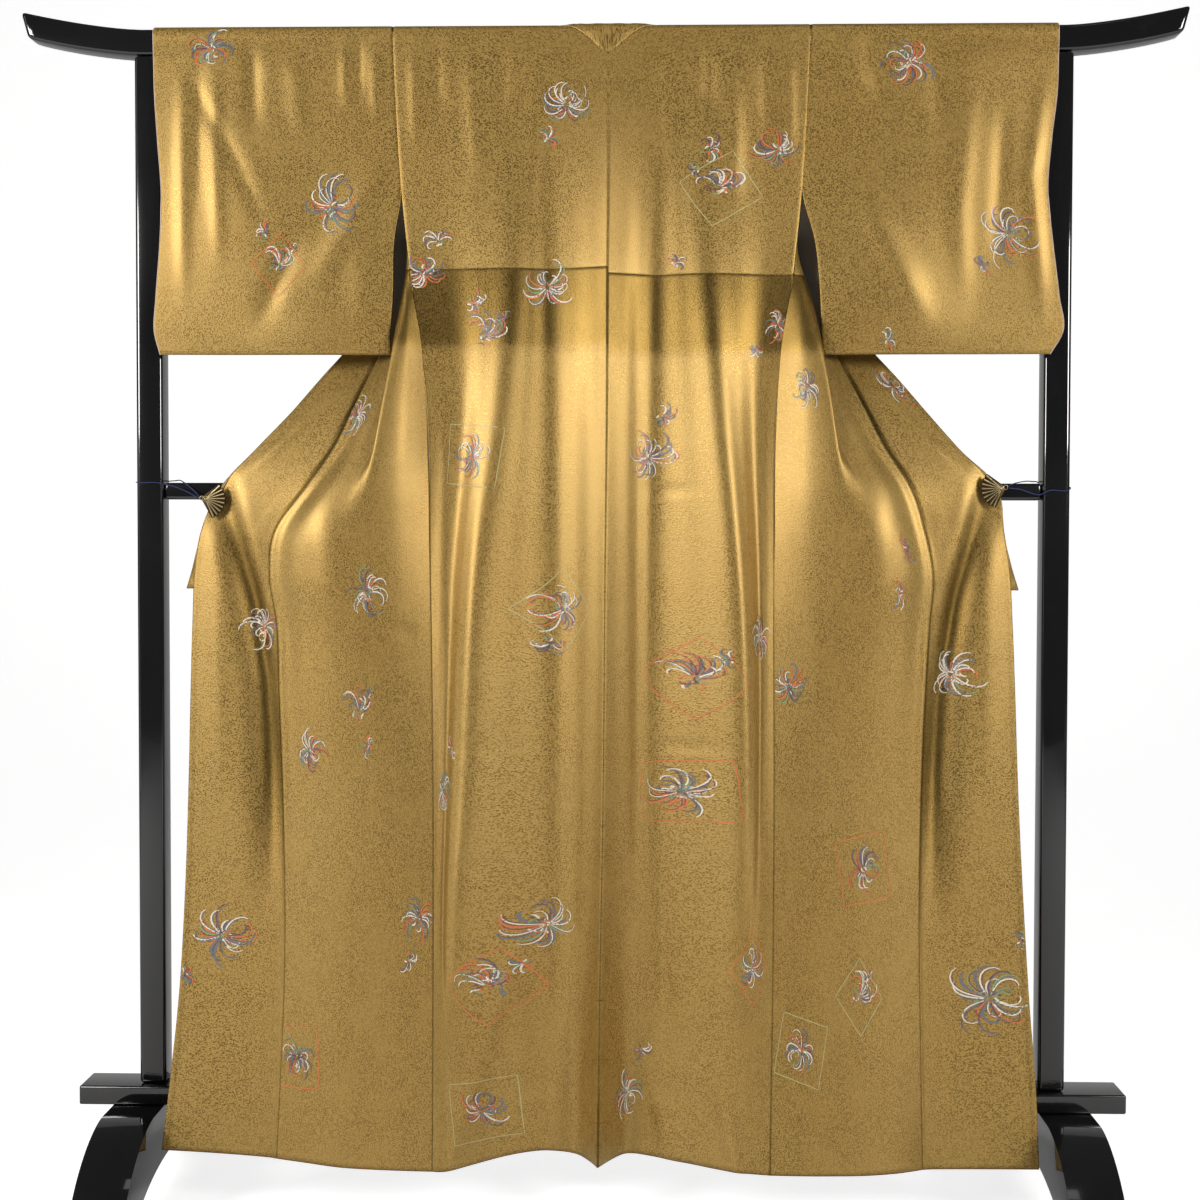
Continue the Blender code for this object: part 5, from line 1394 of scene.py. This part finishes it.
edges = {}
for side in ("left", "right"):
    inward = 0.0006
    for name, rows in (("body_" + side, (0, -1)), ("okumi_" + side, (0,))):
        sheet = sheets[name]
        for row in rows:
            line = sheet.points[row] - sheet.outward()[row] * inward - np.array((0, 0, 0.0005))
            end = "back" if row == 0 else "front"
            piece = rolled_edge(f"hem_roll_{name}_{end}", line, 0.0010, russet_roll)
            edges.setdefault(name, []).append(piece)
    sheet = sheets["sleeve_" + side]
    sign = -1 if side == "left" else 1
    line = sheet.points[:, -1] - sheet.outward()[:, -1] * inward + np.array((sign * 0.0005, 0, 0))
    edges["sleeve_" + side] = [rolled_edge("cuff_roll_" + side, line, 0.0010, cuff_lining)]

# %% Rolls of the side seams
for side in ("left", "right"):
    sheet = sheets["body_" + side]
    low = sheet.along < SIDE_SEAM_TOP
    line = sheet.points[low, 0] - sheet.outward()[low, 0] * 0.0005
    # The roll is silk painted dark: painted shade along the side seam's fold.
    edges["body_" + side].append(rolled_edge("seam_roll_" + side, line, 0.0014, seam_silk))

# %% What each sheet was cut to
for name, sheet in sheets.items():
    width, length = sheet.over[-1], (sheet.along[-1] - sheet.along[0]) * CM
    print(name, "cut", round(float(width), 3), "x", round(float(length), 3), "m")

# %% [markdown]
# ## The brass clips
#
# Each clip is a little open fan on a spring pin, with a plain leaf behind. The fan's ribs are
# slim cones that spread from the pivot to a scalloped rim; a rivet holds them, and a ring takes
# the string. The leaf between the ribs is painted dark, as painted shade, so that the ribs stand out.

# %% Fan, ribs and rivet
CLIP = {"left": (0.562, 1.0150, -12), "right": (0.5655, 1.0310, -14)}
FAN_Y = -0.0350
FAN_REACH = 0.030
FAN_SPREAD = 60
RIBS = 9


def joined(name, parts):
    """One object made of several."""
    only(parts[0])
    for part in parts[1:]:
        part.select_set(True)
    bpy.ops.object.join()
    parts[0].name = parts[0].data.name = name
    return parts[0]


def plate(name, outline_points, y, thick):
    """A flat plate from an outline in the X-Z plane, with softened edges."""
    n = len(outline_points)
    verts = [(u, y + s * thick / 2, v) for s in (-1, 1) for u, v in outline_points]
    faces = [tuple(range(n)), tuple(range(2 * n - 1, n - 1, -1))]
    faces += [(i, (i + 1) % n, (i + 1) % n + n, i + n) for i in range(n)]
    obj = mesh_object(name, verts, faces, [])
    only(obj)
    bpy.ops.object.mode_set(mode="EDIT")
    bpy.ops.mesh.select_all(action="SELECT")
    bpy.ops.mesh.normals_make_consistent(inside=False)
    bpy.ops.object.mode_set(mode="OBJECT")
    round_edges(obj, thick * 0.25, 2, 50)
    return obj


for side, sign in (("left", -1), ("right", 1)):
    x, z, tilt = CLIP[side]
    leaf = [(0.0045, -0.003), (0.0045, 0.003)]
    for k in range(4 * RIBS + 1):
        angle = math.radians(tilt + FAN_SPREAD - 2 * FAN_SPREAD * k / (4 * RIBS))
        reach = FAN_REACH - 0.0007 - 0.0011 * abs(math.cos(math.pi * k / 4))
        leaf.append((-reach * math.cos(angle), reach * math.sin(angle)))
    leaf = [(sign * (x + u), z + v) for u, v in leaf]
    parts = [plate("fan_leaf_" + side, leaf, FAN_Y, 0.0010)]
    parts[0].data.materials.append(dark_brass)
    for k in range(RIBS):
        angle = math.radians(tilt - FAN_SPREAD * 0.9 + 1.8 * FAN_SPREAD * k / (RIBS - 1))
        direction = Vector((-sign * math.cos(angle), 0, math.sin(angle)))
        bpy.ops.mesh.primitive_cone_add(vertices=12, radius1=0.0006, radius2=0.0014, depth=FAN_REACH - 0.005)
        rib = bpy.context.object
        rib.rotation_mode = "QUATERNION"
        rib.rotation_quaternion = direction.to_track_quat("Z", "Y")
        rib.location = Vector((sign * x, FAN_Y - 0.0010, z)) + direction * (FAN_REACH * 0.5 + 0.0004)
        settle(rib)
        parts.append(rib)
    bpy.ops.mesh.primitive_uv_sphere_add(segments=20, ring_count=10, radius=0.0024,
                                         location=(sign * x, FAN_Y - 0.0004, z))
    parts.append(bpy.context.object)
    bpy.ops.mesh.primitive_torus_add(major_segments=24, minor_segments=8, major_radius=0.0034,
                                     minor_radius=0.0005, location=(sign * x, FAN_Y - 0.0006, z),
                                     rotation=(math.pi / 2, 0, 0))
    parts.append(bpy.context.object)
    for part in parts[1:]:
        part.data.materials.append(brass)
    finish_piece(joined("brass_fan_" + side, parts), "clip_fan_" + side, slot="brass")
for name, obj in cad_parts.items():
    if name.startswith(("clip_back", "clip_pin", "clip_ring")):
        obj.data.materials.clear()
        obj.data.materials.append(brass)

# %% [markdown]
# ## The strings
#
# A limp dark-blue string runs from each clip's ring once round the post and back over the
# crossbar to the ring, drawn taut. It is a curve with a round bevel that follows the packed
# string's own route.

# %% Strings round the posts
POST_X, POST_SIDE = 0.647, 0.038
RING_OUT, RING_UP, RING_Y, RING_RADIUS, RING_WIRE = 0.0078, 0.002, -0.0250, 0.0030, 0.0006
STRING_RADIUS = 0.0008
STRING_Z = {"left": 1.0375, "right": 1.0250}
STRING_OVER_BAR = 1.0422
GAP = 0.0003


def string_route(side):
    """The string's centre line: from the ring round the post, over the crossbar and back."""
    sign = -1 if side == "left" else 1
    x, z, _ = CLIP[side]
    start_x = x + RING_OUT + RING_RADIUS + RING_WIRE + STRING_RADIUS + GAP
    ring_z, corner, half = z + RING_UP, 0.005, POST_SIDE / 2
    turn = corner + STRING_RADIUS + GAP + 0.0002
    height = STRING_Z[side]
    route = [(start_x, RING_Y, ring_z - 0.0012),
             (start_x + 0.012, RING_Y - 0.0008, ring_z + (height - ring_z) * 0.3)]
    corners = ((-1, -1, (235, 252, 270)), (1, -1, (270, 300, 330, 360)), (1, 1, (0, 30, 60, 90)),
               (-1, 1, (90, 110, 130, 150)))
    turns = sum(len(c[2]) for c in corners)
    for sx, sy, angles in corners:
        for a in angles:
            rise = (STRING_OVER_BAR - height) * (len(route) - 2) / (turns - 1)
            route.append((POST_X + sx * (half - corner) + turn * math.cos(math.radians(a)),
                          sy * (half - corner) + turn * math.sin(math.radians(a)), height + rise))
    route += [(0.6200, 0.0110, STRING_OVER_BAR + 0.0002), (0.6120, 0.0, STRING_OVER_BAR + 0.0004),
              (0.6030, -0.0130, STRING_OVER_BAR - 0.0004),
              (start_x + 0.009, RING_Y + 0.0046, (STRING_OVER_BAR + 2 * ring_z) / 3 + 0.0026),
              (start_x + 0.0004, RING_Y + 0.0022, ring_z + 0.0026)]
    route = np.array([(sign * p[0], p[1], p[2]) for p in route])
    length = np.concatenate(([0], np.cumsum(np.linalg.norm(np.diff(route, axis=0), axis=1))))
    return smooth(np.linspace(0, length[-1], 54), length, route), float(length[-1])


for side in ("left", "right"):
    route, length = string_route(side)
    curve = bpy.data.curves.new("indigo_string_" + side, "CURVE")
    curve.dimensions = "3D"
    curve.bevel_depth, curve.bevel_resolution, curve.use_fill_caps = STRING_RADIUS, 3, True
    spline = curve.splines.new("POLY")
    spline.points.add(len(route) - 1)
    for point, spot in zip(spline.points, route):
        point.co = (*spot, 1)
    curve.materials.append(blue_string)
    string = bpy.data.objects.new("indigo_string_" + side, curve)
    bpy.context.scene.collection.objects.link(string)
    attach(string, "root")
    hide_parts("string_" + side)
    print("string", side, round(length, 3), "m")
